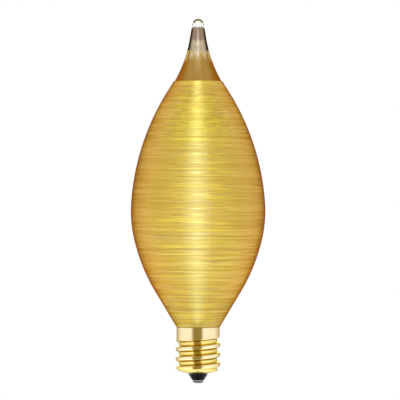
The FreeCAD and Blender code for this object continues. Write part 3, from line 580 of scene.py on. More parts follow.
def fibre_material(finish, fibre, top):
    """Wound glass fibre under amber lacquer: satin gold with a fine line round it, with painted
    side shade, a painted highlight at the crown, painted highlight lines, a painted dark outline
    and a painted glow on the inner side.
    """
    shader = Shader("lacquered_fibre")
    height = shader.axes()[2]
    groove = shader.attribute("groove")
    fine = shader.noise((0.05, 0.05, 2.7), detail=1.0)
    lines = shader.noise((0.02, 0.02, 2.1), (9.0, 4.0, 2.0))
    fade = shader.noise((0.12, 0.12, 1.0), (5.0, 1.0, 3.0)).step(0.4, 0.6)
    crisp = shader.noise((0.04, 0.04, 3.2), (2.0, 5.0, 8.0), detail=1.0)
    patches = shader.noise((0.11, 0.11, 0.35))
    waves = shader.noise((0.35, 0.35, 2.6), (3.0, 7.0, 1.0), detail=1.0)
    facing = shader.facing()
    crown = height.step(60.0, 68.0)
    low = 1 - height.step(30.0, 46.0)
    calm = facing.step(0.06, 0.2) * height.step(40.0, 46.0) * (1 - crown)
    open_face = 1 - facing.step(0.05, 0.12)
    # Crisp lines: real strand lines low down, and painted highlight lines on the flank of the
    # highlight, where the wrap nearly faces the eye.
    strand_lines_and_highlight_flank = low.most(facing.step(0.002, 0.012) * open_face * 0.8)
    dull = fine.step(0.4, 0.6)
    line = groove.step(0.03, 0.4)
    light = lines.step(0.56, 0.61) * fade * (0.8 - calm * 0.6)
    dark = (1 - lines.step(0.38, 0.43)) * (1 - fade) * (1 - calm * 0.8)
    # Painted highlight at the crown's middle, where it faces the eye.
    crown_highlight = crown * (1 - facing.step(0.1, 0.3))
    ripple = crown * (facing.step(0.04, 0.2) * 0.8 + 0.2)
    band_low = top - fibre.lacquer_band / MM
    thin_line = height.peak(band_low, 0.14) + height.peak(top, 0.16)
    # Painted shade on the sides, weaker on the lower cone.
    slant = facing.step(0.1, 0.6) * (height.step(16.0, 28.0) * 0.7 + 0.3)
    body = shader.layers(
        finish.fibre,
        (patches.step(0.35, 0.7) * 0.15, finish.fibre_light_and_highlight),
        (light, finish.fibre_light_and_highlight),
        (dark * (0.5 + low * 0.3), finish.fibre_dark),
        ((1 - crisp.step(0.36, 0.44)) * strand_lines_and_highlight_flank * 0.6, finish.fibre_dark),
        (crisp.step(0.56, 0.64) * strand_lines_and_highlight_flank * 0.65, finish.fibre_light_and_highlight),
        (crown_highlight * 0.5, finish.fibre_light_and_highlight),
        (ripple * (1 - waves.step(0.38, 0.5)) * 0.45, finish.fibre_dark),
        (ripple * waves.step(0.55, 0.62) * 0.6, finish.fibre_light_and_highlight),
        (line * 0.16 + dull * 0.12, finish.fibre_dark),
        (groove.step(0.4, 1.0) * 0.3, finish.fibre_dark),
        (height.step(band_low, band_low + 0.05) * 0.5, finish.fibre_light_and_highlight),
        (thin_line * 0.7, finish.fibre_line_and_edge_shade),
        (slant, finish.fibre_side_shade))
    rough = 0.36 + dull * 0.2 + line * 0.2 + crown_highlight * 0.08
    rough = rough + crisp.step(0.48, 0.6) * open_face * 0.22
    gloss = height.peak(44.0, 24.0) * (1 - facing.step(0.02, 0.2))
    sheen = shader.principled(
        # Painted glow on the side that lies on the glass.
        Emission_Color=shader.mix(shader.attribute("painted_glow"), BLACK, finish.fibre),
        Emission_Strength=0.9, Base_Color=body, Roughness=rough,
        Metallic=0.1 + facing.step(0.3, 0.8) * 0.9 + crown_highlight * 0.2,
        Normal=shader.bump(fine + lines * 0.6, 0.03 * MM, 0.6),
        Coat_Weight=gloss * 0.35, Coat_Roughness=0.4, Anisotropic=1.0,
        Anisotropic_Rotation=0.25, IOR=2.6, Specular_Tint=(0.64, 0.95, 0.6))
    # Painted shade: a matt dark outline where the fibre is seen along its face.
    return shader.edged(sheen, facing.step(0.55, 0.88), finish.fibre_line_and_edge_shade)


def blown_glass_material(finish, waist, bead_foot, dip):
    """Clear glass, amber lacquered below the dip's edge, with painted shade and a painted
    highlight along its edges and a painted glow inside the hollow's end.
    """
    shader = Shader("lacquered_glass")
    hollow_top = 89.9
    x, y, height = shader.axes()
    centre, arc = waist
    skin = centre[0] / MM - (arc ** 2 / MM ** 2 - (height - centre[1] / MM) ** 2) ** 0.5
    reach = (x * x + y * y) ** 0.5
    outside = (reach - skin).step(-0.4, -0.2)
    outside = outside.most(height.step(hollow_top - 0.05, hollow_top + 0.05))
    blotches = shader.noise((0.5, 0.5, 0.3), detail=3.0)
    scallops = shader.noise((0.9, 0.9, 0.35), detail=1.0)
    facing = shader.facing()
    lacquered = 1 - (height + (scallops - 0.5) * 2.4).step(dip - 0.2, dip + 0.2)
    solid = height.step(hollow_top - 0.7, hollow_top + 0.3)
    clear = shader.mix(solid, finish.clear, finish.smoke)
    amber = shader.layers(
        finish.amber,
        (blotches.step(0.35, 0.65) * 0.5, finish.fibre),
        # Painted shade on the lacquer's sides.
        (facing.step(0.03, 0.16) * 0.7, finish.amber_side_shade),
        (height.step(dip - 2.6, dip - 0.6) * scallops.step(0.4, 0.55) * 0.8, finish.dip))
    bead = height.step(bead_foot - 0.25, bead_foot - 0.15)
    body = shader.layers(
        clear,
        (lacquered, amber),
        (bead, finish.bead),
        (height.peak(bead_foot - 0.1, 0.35) * 0.8, finish.bead_foot))
    # Painted shade: dark spots at the bead's sides, and an olive crescent along its top edge.
    sides = facing.step(0.4, 0.7) * height.peak(bead_foot + 0.7, 0.5)
    crescent = facing.step(0.18, 0.36) * height.step(bead_foot + 0.9, bead_foot + 1.5)
    # Painted shade along the edges of the clear and the lacquered glass.
    rim = facing.step(0.18, 0.5) * (1 - lacquered) + facing.step(0.2, 0.45) * lacquered
    rim = rim * (1 - bead) + sides.most(crescent) * bead
    # Painted outline: dark shade along the lacquered waist, and a painted bright line below the
    # dip.
    glow = shader.mix(height.step(dip - 3.6, dip - 1.8), finish.neck_edge_shade, finish.amber_edge_highlight)
    shade = shader.mix(facing.step(0.4, 0.52), finish.amber_side_shade, glow)
    shade = shader.mix(lacquered, finish.glass_edge_shade, shade)
    # Painted glow inside the hollow's end, to light it pale.
    dome_glow = (1 - outside) * height.step(hollow_top - 1.3, hollow_top - 0.6)
    glass = shader.principled(
        Base_Color=shader.mix(outside, WHITE, body),
        Emission_Color=shader.mix(dome_glow, BLACK, finish.dip), Emission_Strength=0.25,
        Roughness=0.02 + lacquered * outside * 0.26,
        Normal=shader.bump(blotches * lacquered * outside, 0.02 * MM, 0.5),
        Transmission_Weight=1.0, IOR=1.5, Specular_IOR_Level=0.02)
    shade = shader.mix(crescent * bead, shade, finish.bead_top)
    return shader.edged(glass, rim * outside, shade)


def brass_material(finish):
    """Polished sheet brass with fine rolling marks and a little tarnish, and painted reflections
    and shade: deeper yellow on the thread's flanks and the lip, dark along the crest's edges and
    darker where it is seen at a slant.
    """
    shader = Shader("polished_brass")
    x, y, height = shader.axes()
    reach = (x * x + y * y) ** 0.5
    facing = shader.facing()
    tarnish = shader.noise(scale=0.55, detail=4.0, roughness=0.6)
    lip = 1 - height.step(4.2, 4.6)
    thread = height.step(4.0, 4.6) * (1 - height.step(11.0, 11.4))
    # Painted reflection on the thread's flanks.
    flank = reach.step(4.95, 5.15) * (1 - reach.step(5.6, 5.84)) * thread
    # Painted shade along the crest's slanted edges.
    brow = reach.peak(5.6, 0.28) * facing.step(0.05, 0.45) * thread
    brow = brow.most(flank * facing.step(0.1, 0.45) * 0.45)
    body = shader.layers(
        finish.brass,
        (tarnish.step(0.45, 0.75) * 0.35, finish.brass_deep),
        (facing.step(0.25, 0.85) * 0.85, finish.brass_side_shade),
        (flank * 0.92, finish.brass_flank_reflection),
        (brow * 0.85, finish.brass_brow_shade),
        (lip * 0.4, finish.brass_flank_reflection),
        (facing.step(0.6, 0.9) * 0.7, finish.brass_brow_shade))
    return shader.surface(
        Base_Color=body, Metallic=1.0, Roughness=0.17 + tarnish.step(0.5, 0.8) * 0.08,
        Normal=shader.bump(shader.noise((0.8, 0.8, 14.0)), 0.004 * MM, 0.35),
        Specular_Tint=(0.92, 0.88, 0.65))


def black_glass_material(finish):
    """Black moulded glass with faint mould marks."""
    shader = Shader("black_moulded_glass")
    flow = shader.noise(scale=1.2, detail=3.0)
    return shader.surface(
        Base_Color=finish.black_glass, Roughness=0.12 + flow * 0.12, IOR=1.5,
        Specular_IOR_Level=0.08, Normal=shader.bump(flow, 0.03 * MM, 0.4))


def solder_material(finish):
    """Tin solder: satin, with the grain of quick cooling."""
    shader = Shader("tin_solder")
    grain = shader.noise(scale=5.0, detail=4.0, roughness=0.65)
    flow = shader.noise(scale=1.6)
    return shader.surface(
        Base_Color=shader.mix(grain.step(0.3, 0.8) * 0.5, finish.solder, (0.12, 0.12, 0.13)),
        Metallic=1.0, Roughness=0.25 + grain * 0.25,
        Normal=shader.bump(flow + grain * 0.3, 0.06 * MM, 0.7))


def clear_stem_material():
    """Clear drawn glass of the stem, its tube and the arbor."""
    shader = Shader("clear_stem_glass")
    streaks = shader.noise((2.0, 2.0, 0.25))
    return shader.surface(
        Base_Color=shader.mix(streaks, (0.93, 0.96, 0.94), (0.85, 0.9, 0.87)),
        Roughness=0.03 + streaks * 0.04, Transmission_Weight=1.0, IOR=1.5,
        Normal=shader.bump(streaks, 0.02 * MM, 0.4))


def cement_material():
    """Pale basing cement, matt and grainy."""
    shader = Shader("basing_cement")
    grain = shader.noise(scale=4.0, detail=5.0, roughness=0.7)
    return shader.surface(
        Base_Color=shader.mix(grain, (0.78, 0.70, 0.57), (0.6, 0.52, 0.4)),
        Roughness=0.85, Normal=shader.bump(grain, 0.1 * MM, 0.7))


def wire_material(name, bright, dull, roughness):
    """Drawn wire with faint lengthwise marks and dull patches."""
    shader = Shader(name)
    patches = shader.noise(scale=2.5, detail=3.0)
    return shader.surface(
        Base_Color=shader.mix(patches.step(0.35, 0.7), bright, dull), Metallic=1.0,
        Roughness=roughness + patches * 0.15, Normal=shader.bump(patches, 0.01 * MM, 0.4))


def coil_material():
    """Tungsten coil whose fine turns show as lines across its length."""
    shader = Shader("tungsten_coil")
    turns = (shader.axes()[1] * 60.0).math("SINE") * 0.5 + 0.5
    return shader.surface(
        Base_Color=shader.mix(turns, (0.08, 0.08, 0.09), (0.34, 0.33, 0.34)), Metallic=1.0,
        Roughness=0.4 + turns * 0.1, Normal=shader.bump(turns, 0.04 * MM, 0.8))


class CANDLEBULB_OT_blown_glass(bpy.types.Operator):
    """Turns the hollow glass envelope with its drawn tip and bead"""
    bl_idname = "candle_bulb.blown_glass"
    bl_label = "Blown glass"

    def execute(self, context):
        scene = context.scene
        glass, shell = scene.bulb_glass, scene.bulb_shell
        at = outline_angles(glass, shell)
        arcs = outline_arcs(glass, shell, scene.bulb_fibre)
        waist, waist_arc = arcs["waist"]
        shoulder = glass.tip_height - glass.bead_length
        bead_foot = shoulder + glass.shoulder_step
        bead_centre = (0.0, glass.tip_height - glass.bead_radius)
        outline = Outline(glass.neck_radius, glass.neck_low)
        outer_low = outline.last
        self.flank(outline, glass, shell, at, arcs, 0.0)
        outline.arc(waist, at["tip"] - at["waist"], parts=40)
        outline.run(glass.shoulder_radius, shoulder, parts=8)
        outline.run(glass.bead_radius, bead_foot)
        outline.run(glass.bead_radius, bead_centre[1], parts=3)
        outline.arc(bead_centre, QUARTER_TURN, parts=16)
        # The hollow grows upwards too, from the neck's inner edge.
        inner_low = outline.mesh.verts.new((glass.neck_radius - glass.wall, 0.0, glass.neck_low))
        outline.last = inner_low
        self.flank(outline, glass, shell, at, arcs, glass.wall)
        outline.arc(waist, at["hollow"] - at["waist"], parts=30)
        end = on_arc(waist, -(waist_arc + glass.wall), at["hollow"])
        end_rise = (end[0] - glass.hollow_end / cos(at["hollow"])) / tan(at["hollow"])
        end_centre = (0.0, end[1] + end_rise)
        outline.run(*on_arc(end_centre, glass.hollow_end, at["hollow"]), parts=8)
        outline.arc(end_centre, QUARTER_TURN - at["hollow"], parts=12)
        outline.mesh.edges.new((outer_low, inner_low))
        material = blown_glass_material(
            scene.bulb_finish, arcs["waist"], bead_foot / MM, glass.dip_height / MM)
        finish_piece("blown_glass", outline.turned(steps=96), material, "glass_envelope")
        return {"FINISHED"}

    def flank(self, outline, glass, shell, at, arcs, inset):
        """Neck, bend, cone and the three arcs up to the waist, inset by a wall."""
        foot, foot_arc = arcs["foot"]
        seat_drop = (arcs["seat"] - glass.neck_radius) / tan(at["cone"])
        bend_height = shell.rim_height - seat_drop - glass.neck_fillet * tan(at["cone"] / 2)
        outline.run(glass.neck_radius - inset, bend_height, parts=6)
        outline.arc((glass.neck_radius + glass.neck_fillet, bend_height), -at["cone"], parts=6)
        outline.run(*on_arc(foot, foot_arc - inset, -at["cone"]), parts=20)
        outline.arc(foot, at["cone"] - at["foot"], parts=18)
        outline.arc(arcs["belly"][0], at["foot"] + at["crown"], parts=14)
        outline.arc(arcs["crown"][0], at["waist"] - at["crown"], parts=30)


class CANDLEBULB_OT_fibre_winding(bpy.types.Operator):
    """Winds the fibre layer over the glass, with its strands and lines as real relief"""
    bl_idname = "candle_bulb.fibre_winding"
    bl_label = "Fibre winding"

    # Seed of the random lines, half widths of the lines between strands and between bands,
    # how far a line lies from its height with all its sway, the plain strip at the foot,
    # height and spread of the strongest sway, and the waves of a strand: each one's lobes
    # round the bulb, its rate per metre of height and its share.
    seed = 41
    strand_line = 0.15 * MM
    band_line = 0.22 * MM
    line_reach = 0.8 * MM
    plain_foot = 0.1 * MM
    sway_height = 71.0 * MM
    sway_spread = 5.5 * MM
    waves = ((5, 900, 1.0), (11, -2100, 1.0), (17, 1500, 0.7))

    def execute(self, context):
        scene = context.scene
        glass, shell, fibre = scene.bulb_glass, scene.bulb_shell, scene.bulb_fibre
        at = outline_angles(glass, shell)
        arcs = outline_arcs(glass, shell, fibre)
        waist, waist_arc = arcs["waist"]
        end_angle = at["waist"] - fibre.end_share * (at["waist"] - at["tip"])
        top = waist[1] - waist_arc * sin(end_angle)
        low = shell.rim_height + fibre.seat
        skin_end = asin((waist[1] - top) / (waist_arc - fibre.thickness))
        glass_end = asin((waist[1] - top) / (waist_arc - fibre.gap))
        lean = fibre.seat * tan(at["cone"])
        turns = {"foot": at["cone"] - at["foot"], "belly": at["foot"] + at["crown"],
                 "crown": at["waist"] - at["crown"]}

        outline = Outline(shell.skirt_radius + lean, low)
        start = on_arc(arcs["foot"][0], arcs["foot"][1] + fibre.thickness, -at["cone"])
        outline.run(*start, self.rings((start[1] - low) / cos(at["cone"]), fibre))
        for name, turn in turns.items():
            centre, reach = arcs[name]
            outline.arc(centre, turn, self.rings((reach + fibre.thickness) * turn, fibre))
        turn = at["waist"] - skin_end
        outline.arc(waist, -turn, self.rings((waist_arc - fibre.thickness) * turn, fibre))
        outline.run(*on_arc(waist, -(waist_arc - fibre.gap), glass_end))
        outline.arc(waist, at["waist"] - glass_end, parts=2)
        for name, parts in (("crown", 12), ("belly", 8), ("foot", 8)):
            outline.arc(arcs[name][0], -turns[name], parts)
        outline.run(arcs["seat"] + fibre.gap / cos(at["cone"]) + lean, low)
        outline.run(shell.skirt_radius + lean, low)
        mesh = outline.turned(steps=112)
        self.press_lines(mesh, fibre, low, top)
        self.mark_painted_glow(mesh)
        material = fibre_material(scene.bulb_finish, fibre, top / MM)
        finish_piece("fibre_winding", mesh, material, "spun_glass_wrap")
        return {"FINISHED"}

    def rings(self, span, fibre):
        """Number of rings of faces over a span."""
        return max(1, round(span / fibre.ring_step))

    def line_set(self, fibre, low, top):
        """Heights, half widths, depths and swings of all lines between strands and bands."""
        draw = random.Random(self.seed)
        lines = []
        for spacing, depth, half in ((fibre.strand, fibre.strand_depth, self.strand_line),
                                     (fibre.band, fibre.band_depth, self.band_line)):
            height = low + spacing
            while height < top - fibre.lacquer_band - spacing / 2:
                lines.append((height, half * draw.uniform(0.8, 1.3),
                              depth * draw.uniform(0.25, 1.0), draw.randint(1, 3),
                              draw.uniform(0.0, FULL_TURN), draw.uniform(0.2, 0.75)))
                height += spacing * draw.uniform(0.55, 1.5)
        return sorted(lines)

    def faces_out(self, vert):
        """How far a vertex faces away from the bulb's axis."""
        return vert.normal.dot(Vector((vert.co.x, vert.co.y, 0.0)))

    def mark_painted_glow(self, mesh):
        """Marks the side that lies on the glass, which gets a painted glow standing in for
        daylight through the fibre.
        """
        painted_glow = mesh.verts.layers.float.new("painted_glow")
        for vert in mesh.verts:
            vert[painted_glow] = 1.0 if self.faces_out(vert) < 0 else 0.0

    def press_lines(self, mesh, fibre, low, top):
        """Presses the lines into the outer skin and keeps their depth as an attribute."""
        lines = self.line_set(fibre, low, top)
        groove = mesh.verts.layers.float.new("groove")
        mesh.normal_update()
        skin = [vert for vert in mesh.verts
                if low + self.plain_foot < vert.co.z < top - fibre.lacquer_band
                and self.faces_out(vert) > 0]
        skin.sort(key=lambda vert: vert.co.z)
        first = 0
        for vert in skin:
            while first < len(lines) and lines[first][0] < vert.co.z - self.line_reach:
                first += 1
            turn = atan2(vert.co.y, vert.co.x)
            level = vert.co.z + self.sway(vert.co.z, turn, fibre)
            depth = 0.0
            for height, half, deep, lobes, phase, fade in lines[first:]:
                if height > vert.co.z + self.line_reach:
                    break
                away = abs(level - height) / half
                if away < 1:
                    strength = 1 - fade * (0.5 + 0.5 * sin(lobes * turn + phase))
                    depth = max(depth, deep * strength * (1 - away ** 2))
            vert[groove] = depth / fibre.band_depth
            vert.co -= vert.normal * depth

    def sway(self, height, turn, fibre):
        """How far a strand sways from its level, most of it near the crown."""
        near = exp(-((height - self.sway_height) / self.sway_spread) ** 2)
        wave = sum(share * sin(lobes * turn + rate * height)
                   for lobes, rate, share in self.waves)
        return fibre.sway * wave * (0.06 + 0.4 * near)


class CANDLEBULB_OT_screw_shell(bpy.types.Operator):
    """Rolls the threaded brass shell: a helical sheet trimmed at the lip and the skirt"""
    bl_idname = "candle_bulb.screw_shell"
    bl_label = "Screw shell"

    # Steps of one turn of the helix, its turns, and the parts of each arc of the groove.
    spin_steps = 96
    spin_turns = 6
    arc_parts = 7

    def execute(self, context):
        scene = context.scene
        shell = scene.bulb_shell
        start = shell.thread_low - shell.thread_pitch / 2
        first, *levels = self.levels(shell)
        outline = Outline(shell.crest_radius, start + first)
        for level in levels:
            outline.run(shell.crest_radius, start + level)
        mesh = outline.mesh
        turn_round(mesh, self.spin_steps, self.spin_turns, shell.thread_pitch / self.spin_steps)
        merge(mesh, near=1e-6)
        bend_height = lip_bend_height(shell)
        thread_top = shell.thread_low + (shell.thread_turns + 1) * shell.thread_pitch
        lip_start = bend_height - shell.lip_arc * cos(shell.lip_angle)
        cut(mesh, (0.0, 0.0, lip_start), UP, clear_inner=True)
        cut(mesh, (0.0, 0.0, shell.skirt_step + shell.skirt_chamfer), UP)
        cut(mesh, (0.0, 0.0, thread_top), UP, clear_outer=True)
        for vert in mesh.verts:
            turn = atan2(vert.co.y, vert.co.x)
            radius = self.surface_radius(shell, turn % FULL_TURN, vert.co.z, bend_height)
            vert.co.xy = on_arc((0.0, 0.0), radius, turn)
        heights = [vert.co.z for vert in mesh.verts]
        self.pull_edge(mesh, max(heights), shell.skirt_radius, shell.rim_height)
        self.pull_edge(mesh, min(heights), shell.lip_opening, shell.lip_low)
        sharpen(cleaned(mesh), degrees=32)
        piece = finish_piece("rolled_shell", mesh, brass_material(scene.bulb_finish),
                             "screw_shell")
        wall = piece.modifiers.new("Sheet", "SOLIDIFY")
        wall.thickness = shell.sheet
        wall.offset = -1.0
        wall.use_even_offset = True
        return {"FINISHED"}

    def levels(self, shell):
        """Heights of one turn's grid lines, evenly spaced along crest and groove."""
        half, arc = thread_arc(shell)
        flank = asin(half / (2 * arc))
        middle = shell.thread_pitch / 2
        steps = [arc * sin(flank * part / self.arc_parts) for part in range(self.arc_parts + 1)]
        rising = steps + [half - step for step in steps[:-1]]
        heights = [-height for height in rising] + rising + [-middle, middle]
        return sorted({round(middle + height, 9) for height in heights})

    def surface_radius(self, shell, turn, height, bend_height):
        """Radius of the shell's outside at an angle and a height."""
        radius = shell.crest_radius
        if height < bend_height:
            depth = min(bend_height - height, shell.lip_arc)
            radius += sqrt(shell.lip_arc ** 2 - depth ** 2) - shell.lip_arc
        step = (height - shell.skirt_step) / shell.skirt_chamfer
        radius -= (shell.crest_radius - shell.skirt_radius) * min(max(step, 0.0), 1.0)
        share = turn / FULL_TURN
        shifts = {number: 0.0 for number in range(int(shell.thread_turns))}
        if share <= shell.runout_turns:
            shifts[shell.thread_turns] = shell.thread_runout * share / shell.runout_turns
        for number, shift in shifts.items():
            middle = shell.thread_low + shell.thread_pitch * (number + share)
            radius = min(radius, self.groove_radius(shell, abs(height - middle)) + shift)
        return radius

    def groove_radius(self, shell, away):
        """Radius of the groove at a height from its middle, or far out beyond its edges."""
        half, arc = thread_arc(shell)
        if away > half:
            return shell.crest_radius + arc
        if away < half / 2:
            return shell.crest_radius - shell.thread_depth + arc - sqrt(arc ** 2 - away ** 2)
        return shell.crest_radius - arc + sqrt(arc ** 2 - (half - away) ** 2)

    def pull_edge(self, mesh, height, radius, new_height):
        """Extrudes the level open edge at a height to a new radius and height."""
        rim = [edge for edge in mesh.edges if len(edge.link_faces) == 1
               and all(abs(vert.co.z - height) < 1e-6 for vert in edge.verts)]
        for item in bmesh.ops.extrude_edge_only(mesh, edges=rim)["geom"]:
            if isinstance(item, bmesh.types.BMVert):
                turn = atan2(item.co.y, item.co.x)
                item.co = (*on_arc((0.0, 0.0), radius, turn), new_height)


class CANDLEBULB_OT_insulator(bpy.types.Operator):
    """Turns the black glass insulator and rounds its moulded edges"""
    bl_idname = "candle_bulb.insulator"
    bl_label = "Insulator"

    def execute(self, context):
        scene = context.scene
        part, shell = scene.bulb_contact, scene.bulb_shell
        gap = scene.bulb_fibre.seat
        slope = tan(shell.lip_angle)
        throat = shell.lip_opening - gap
        bore = part.barrel_radius + gap
        face = shell.lip_low + (shell.sheet + gap) / cos(shell.lip_angle)
        bend = shell.crest_radius - shell.lip_arc
        mesh = turned_through([
            (part.insulator_low_radius, part.insulator_low),
            (part.cone_radius, part.cone_top),
            (throat, shell.lip_low),
            (throat, face + (throat - shell.lip_opening) * slope),
            (bend, face + (bend - shell.lip_opening) * slope),
            (part.insulator_radius, lip_bend_height(shell) - shell.lip_arc / 2),
            (part.insulator_radius, part.insulator_top),
            (part.cup_rim_radius, part.insulator_top),
            (part.cup_floor_radius, part.cup_floor),
            (bore, part.cup_floor),
            (bore, part.insulator_low),
        ])
        soften(mesh, part.mould_round / 2)
        finish_piece("moulded_insulator", mesh, black_glass_material(scene.bulb_finish),
                     "base_insulator")
        return {"FINISHED"}


class CANDLEBULB_OT_contacts(bpy.types.Operator):
    """Turns the eyelet and its solder, and drops the side solder on the skirt"""
    bl_idname = "candle_bulb.contacts"
    bl_label = "Contacts"

    # Radius of the bulging side of the centre solder, and how far inside the skirt's surface
    # the side drop is cut.
    solder_arc = 0.68 * MM
    drop_foot = 0.12 * MM

    def execute(self, context):
        scene = context.scene
        part, finish = scene.bulb_contact, scene.bulb_finish
        low = part.insulator_low - part.eyelet_sheet
        bore = part.barrel_radius - part.eyelet_sheet
        curl_top = part.cup_floor + part.eyelet_sheet
        mesh = turned_through([
            (part.eyelet_radius, low),
            (part.eyelet_radius, part.insulator_low),
            (part.barrel_radius, part.insulator_low),
            (part.barrel_radius, part.cup_floor),
            (part.curl_radius, part.cup_floor),
            (part.curl_radius, curl_top),
            (bore, curl_top),
            (bore, low),
        ])
        soften(mesh, part.eyelet_sheet / 4)
        tinned = wire_material("tinned_eyelet", finish.tin, finish.solder, roughness=0.2)
        finish_piece("rolled_eyelet", mesh, tinned, "contact_eyelet")
        solder = solder_material(finish)
        drop = self.centre_drop(part, low - part.solder_gap)
        finish_piece("centre_solder_drop", drop, solder, "centre_solder")
        drop = self.side_drop(part, scene.bulb_shell)
        finish_piece("side_solder_drop", drop, solder, "side_solder")
        return {"FINISHED"}

    def centre_drop(self, part, top):
        """The drop under the eyelet, with a small flat and a bulging side."""
        chord = Vector((part.eyelet_radius - part.solder_flat, top))
        depth = sqrt(self.solder_arc ** 2 - chord.length_squared / 4)
        across = Vector((-chord.y, chord.x)).normalized()
        centre = Vector((part.solder_flat, 0.0)) + chord / 2 + across * depth
        outline = Outline(0.0, 0.0)
        outline.run(part.solder_flat, 0.0, parts=5)
        outline.arc(centre, 2 * asin(chord.length / 2 / self.solder_arc), parts=10)
        outline.run(0.0, top, parts=4)
        return outline.turned(SMALL_STEPS)

    def side_drop(self, part, shell):
        """The drop over the side lead: a ball cut along the skirt."""
        mesh = bmesh.new()
        bmesh.ops.create_uvsphere(mesh, u_segments=40, v_segments=24, radius=part.drop_radius)
        middle = shell.skirt_radius + part.drop_proud - part.drop_radius
        for vert in mesh.verts:
            vert.co += Vector((0.0, middle, part.drop_height))
        skirt = shell.skirt_radius + part.solder_gap
        cut(mesh, (0.0, skirt - self.drop_foot, 0.0), (0.0, 1.0, 0.0), clear_inner=True)
        rim = [edge for edge in mesh.edges if len(edge.link_faces) == 1]
        bmesh.ops.contextual_create(mesh, geom=rim)
        bmesh.ops.poke(mesh, faces=[face for face in mesh.faces if len(face.verts) > 4])
        for vert in mesh.verts:
            if hypot(vert.co.x, vert.co.y) < skirt:
                vert.co.y = sqrt(skirt ** 2 - vert.co.x ** 2)
        sharpen(cleaned(mesh), degrees=40)
        return mesh


class CANDLEBULB_OT_mount(bpy.types.Operator):
    """Finishes the solids inside the bulb and under its cap: glass, cement and wires"""
    bl_idname = "candle_bulb.mount"
    bl_label = "Mount"

    def execute(self, context):
        stem = clear_stem_material()
        copper = wire_material("bright_copper", (0.62, 0.26, 0.14), (0.4, 0.16, 0.09), 0.2)
        clad = wire_material("copper_clad_seal", (0.42, 0.13, 0.07), (0.3, 0.07, 0.04), 0.35)
        nickel = wire_material("drawn_nickel", (0.5, 0.47, 0.43), (0.35, 0.33, 0.3), 0.22)
        molybdenum = wire_material("molybdenum", (0.2, 0.2, 0.21), (0.12, 0.12, 0.13), 0.35)
        finishes = {
            "glass_stem": stem, "exhaust_tube": stem, "arbor_rod": stem,
            "basing_cement": cement_material(),
            "side_lead": copper, "centre_lead": copper,
            "side_seal_wire": clad, "centre_seal_wire": clad,
            "side_filament_lead": nickel, "centre_filament_lead": nickel,
            "side_support": molybdenum, "centre_support": molybdenum,
            "filament": coil_material(),
        }
        for name, material in finishes.items():
            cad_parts[name].material_slots[0].material = material
        return {"FINISHED"}


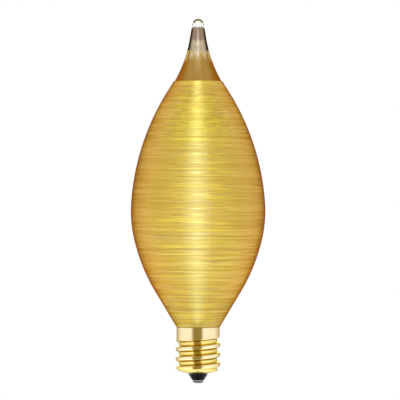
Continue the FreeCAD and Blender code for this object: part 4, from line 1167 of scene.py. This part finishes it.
class CANDLEBULB_OT_studio(bpy.types.Operator):
    """Sets up the pale floor, the soft lamps and the camera"""
    bl_idname = "candle_bulb.studio"
    bl_label = "Studio"

    # Radius of the floor, and width, height and place of the dark card, in metres.
    floor_radius = 0.42
    card_width = 0.0072
    card_height = 0.0166
    card_place = (-0.0004, -0.0078, 0.0073)

    def execute(self, context):
        scene = context.scene
        studio = scene.bulb_studio
        scene.view_settings.view_transform = "Standard"
        scene.world = self.world(studio)
        self.floor(studio)
        self.card()
        upright = (QUARTER_TURN, 0.0, 0.0)
        backward = (-QUARTER_TURN, 0.0, 0.0)
        lying = (pi, 0.0, 0.0)
        self.lamp("front_strip", (-0.02, -0.44, 0.22), upright, size=(0.08, 0.5), power=0.55)
        self.lamp("front_panel", (-0.02, -0.46, 0.31), upright, size=(0.34, 0.55), power=1.62)
        self.lamp("back_panel", (0.0, 0.46, 0.3), backward, size=(0.4, 0.5), power=1.05)
        self.lamp("table_strip", (-0.005, -0.2, -0.037), lying, size=(0.1, 0.26), power=0.16)
        self.lamp("table_glow", (0.0, -0.06, -0.038), lying, size=(0.34, 0.44), power=0.15)
        data = bpy.data.cameras.new("camera")
        data.sensor_width = 36.0
        data.lens = data.sensor_width * studio.camera_distance / studio.view_width
        data.clip_start = 0.01
        place = (studio.camera_aside, -studio.camera_distance, studio.camera_height)
        scene.camera = new_object("camera", data, place, upright)
        return {"FINISHED"}

    def world(self, studio):
        """White behind the bulb, in gloss and in glass, and a softer light on surfaces."""
        shader = Shader("soft_room", "worlds")
        seen = shader.rays("Is Camera Ray", "Is Glossy Ray", "Is Transmission Ray")
        strength = shader.value("ShaderNodeMapRange", "Result", None,
                                {"Value": seen, "To Min": studio.world_light, "To Max": 1.0})
        back = shader.node("ShaderNodeBackground", None,
                           {"Color": WHITE, "Strength": strength})
        return shader.finished(back.outputs["Background"], "ShaderNodeOutputWorld")

    def floor(self, studio):
        """A pale round floor that fades into the white behind it."""
        mesh = bmesh.new()
        bmesh.ops.create_circle(mesh, cap_ends=True, segments=96, radius=self.floor_radius)
        for vert in mesh.verts:
            vert.co.z = -studio.floor_drop
        shader = Shader("pale_floor")
        x, y, _ = shader.axes()
        reach = (x * x + y * y) ** 0.5
        under = shader.value("ShaderNodeNewGeometry", "Backfacing")
        fade = reach.step(150.0, 400.0).most(under)
        fade = fade.most(shader.rays("Is Glossy Ray", "Is Transmission Ray") * 0.8)
        pale = shader.principled(Base_Color=(0.86, 0.86, 0.85), Roughness=0.9)
        fading = shader.blended(fade, pale, shader.nothing())
        mesh_object("pale_floor", mesh, fading)

    def card(self):
        """A dark card with soft sides, close in front of the base, which only gloss shows: it
        paints the dark olive band reflected in the brass.
        """
        mesh = bmesh.new()
        bmesh.ops.create_grid(mesh, x_segments=1, y_segments=1, size=0.5)
        for vert in mesh.verts:
            flat = Vector((vert.co.x * self.card_width, 0.0, vert.co.y * self.card_height))
            vert.co = flat + Vector(self.card_place)
        shader = Shader("dark_card")
        aside = (shader.axes()[0] - self.card_place[0] / MM).abs()
        # Painted reflection: a dim olive glow that the brass shows as a dark band.
        band_glow = shader.node("ShaderNodeEmission", None, {"Color": (0.29, 0.23, 0.07)})
        dark = shader.blended(1 - aside.step(1.5, 3.5), shader.nothing(), band_glow.outputs["Emission"])
        card = mesh_object("dark_card", mesh, dark)
        card.visible_camera = False
        card.visible_diffuse = False
        card.visible_transmission = False

    def lamp(self, name, place, turn, size, power):
        """A soft oblong lamp, which neither the camera nor glass shows."""
        data = bpy.data.lights.new(name, "AREA")
        data.shape = "RECTANGLE"
        data.size, data.size_y = size
        data.energy = power
        lamp = new_object(name, data, place, turn)
        lamp.visible_camera = False
        lamp.visible_transmission = False


class CANDLEBULB_PT_panel(bpy.types.Panel):
    """Sidebar panel with every step of the bulb"""
    bl_idname = "CANDLEBULB_PT_panel"
    bl_label = "Candle Bulb"
    bl_space_type = "VIEW_3D"
    bl_region_type = "UI"
    bl_category = "Candle Bulb"

    def draw(self, context):
        for step in STEPS:
            self.layout.operator(step.bl_idname)


GROUPS = {
    "bulb_glass": GlassSizes,
    "bulb_fibre": FibreSizes,
    "bulb_shell": ShellSizes,
    "bulb_contact": ContactSizes,
    "bulb_finish": Finishes,
    "bulb_studio": StudioSizes,
}
STEPS = (
    CANDLEBULB_OT_blown_glass,
    CANDLEBULB_OT_fibre_winding,
    CANDLEBULB_OT_screw_shell,
    CANDLEBULB_OT_insulator,
    CANDLEBULB_OT_contacts,
    CANDLEBULB_OT_mount,
    CANDLEBULB_OT_studio,
)


def register():
    for group in (*GROUPS.values(), *STEPS, CANDLEBULB_PT_panel):
        bpy.utils.register_class(group)
    for name, group in GROUPS.items():
        setattr(bpy.types.Scene, name, bpy.props.PointerProperty(type=group))


def unregister():
    for name in GROUPS:
        delattr(bpy.types.Scene, name)
    for group in (CANDLEBULB_PT_panel, *reversed(STEPS), *GROUPS.values()):
        bpy.utils.unregister_class(group)


def main():
    """Makes every piece in order."""
    register()
    for step in STEPS:
        group, name = step.bl_idname.split(".")
        getattr(getattr(bpy.ops, group), name)()


if __name__ == "__main__":
    main()
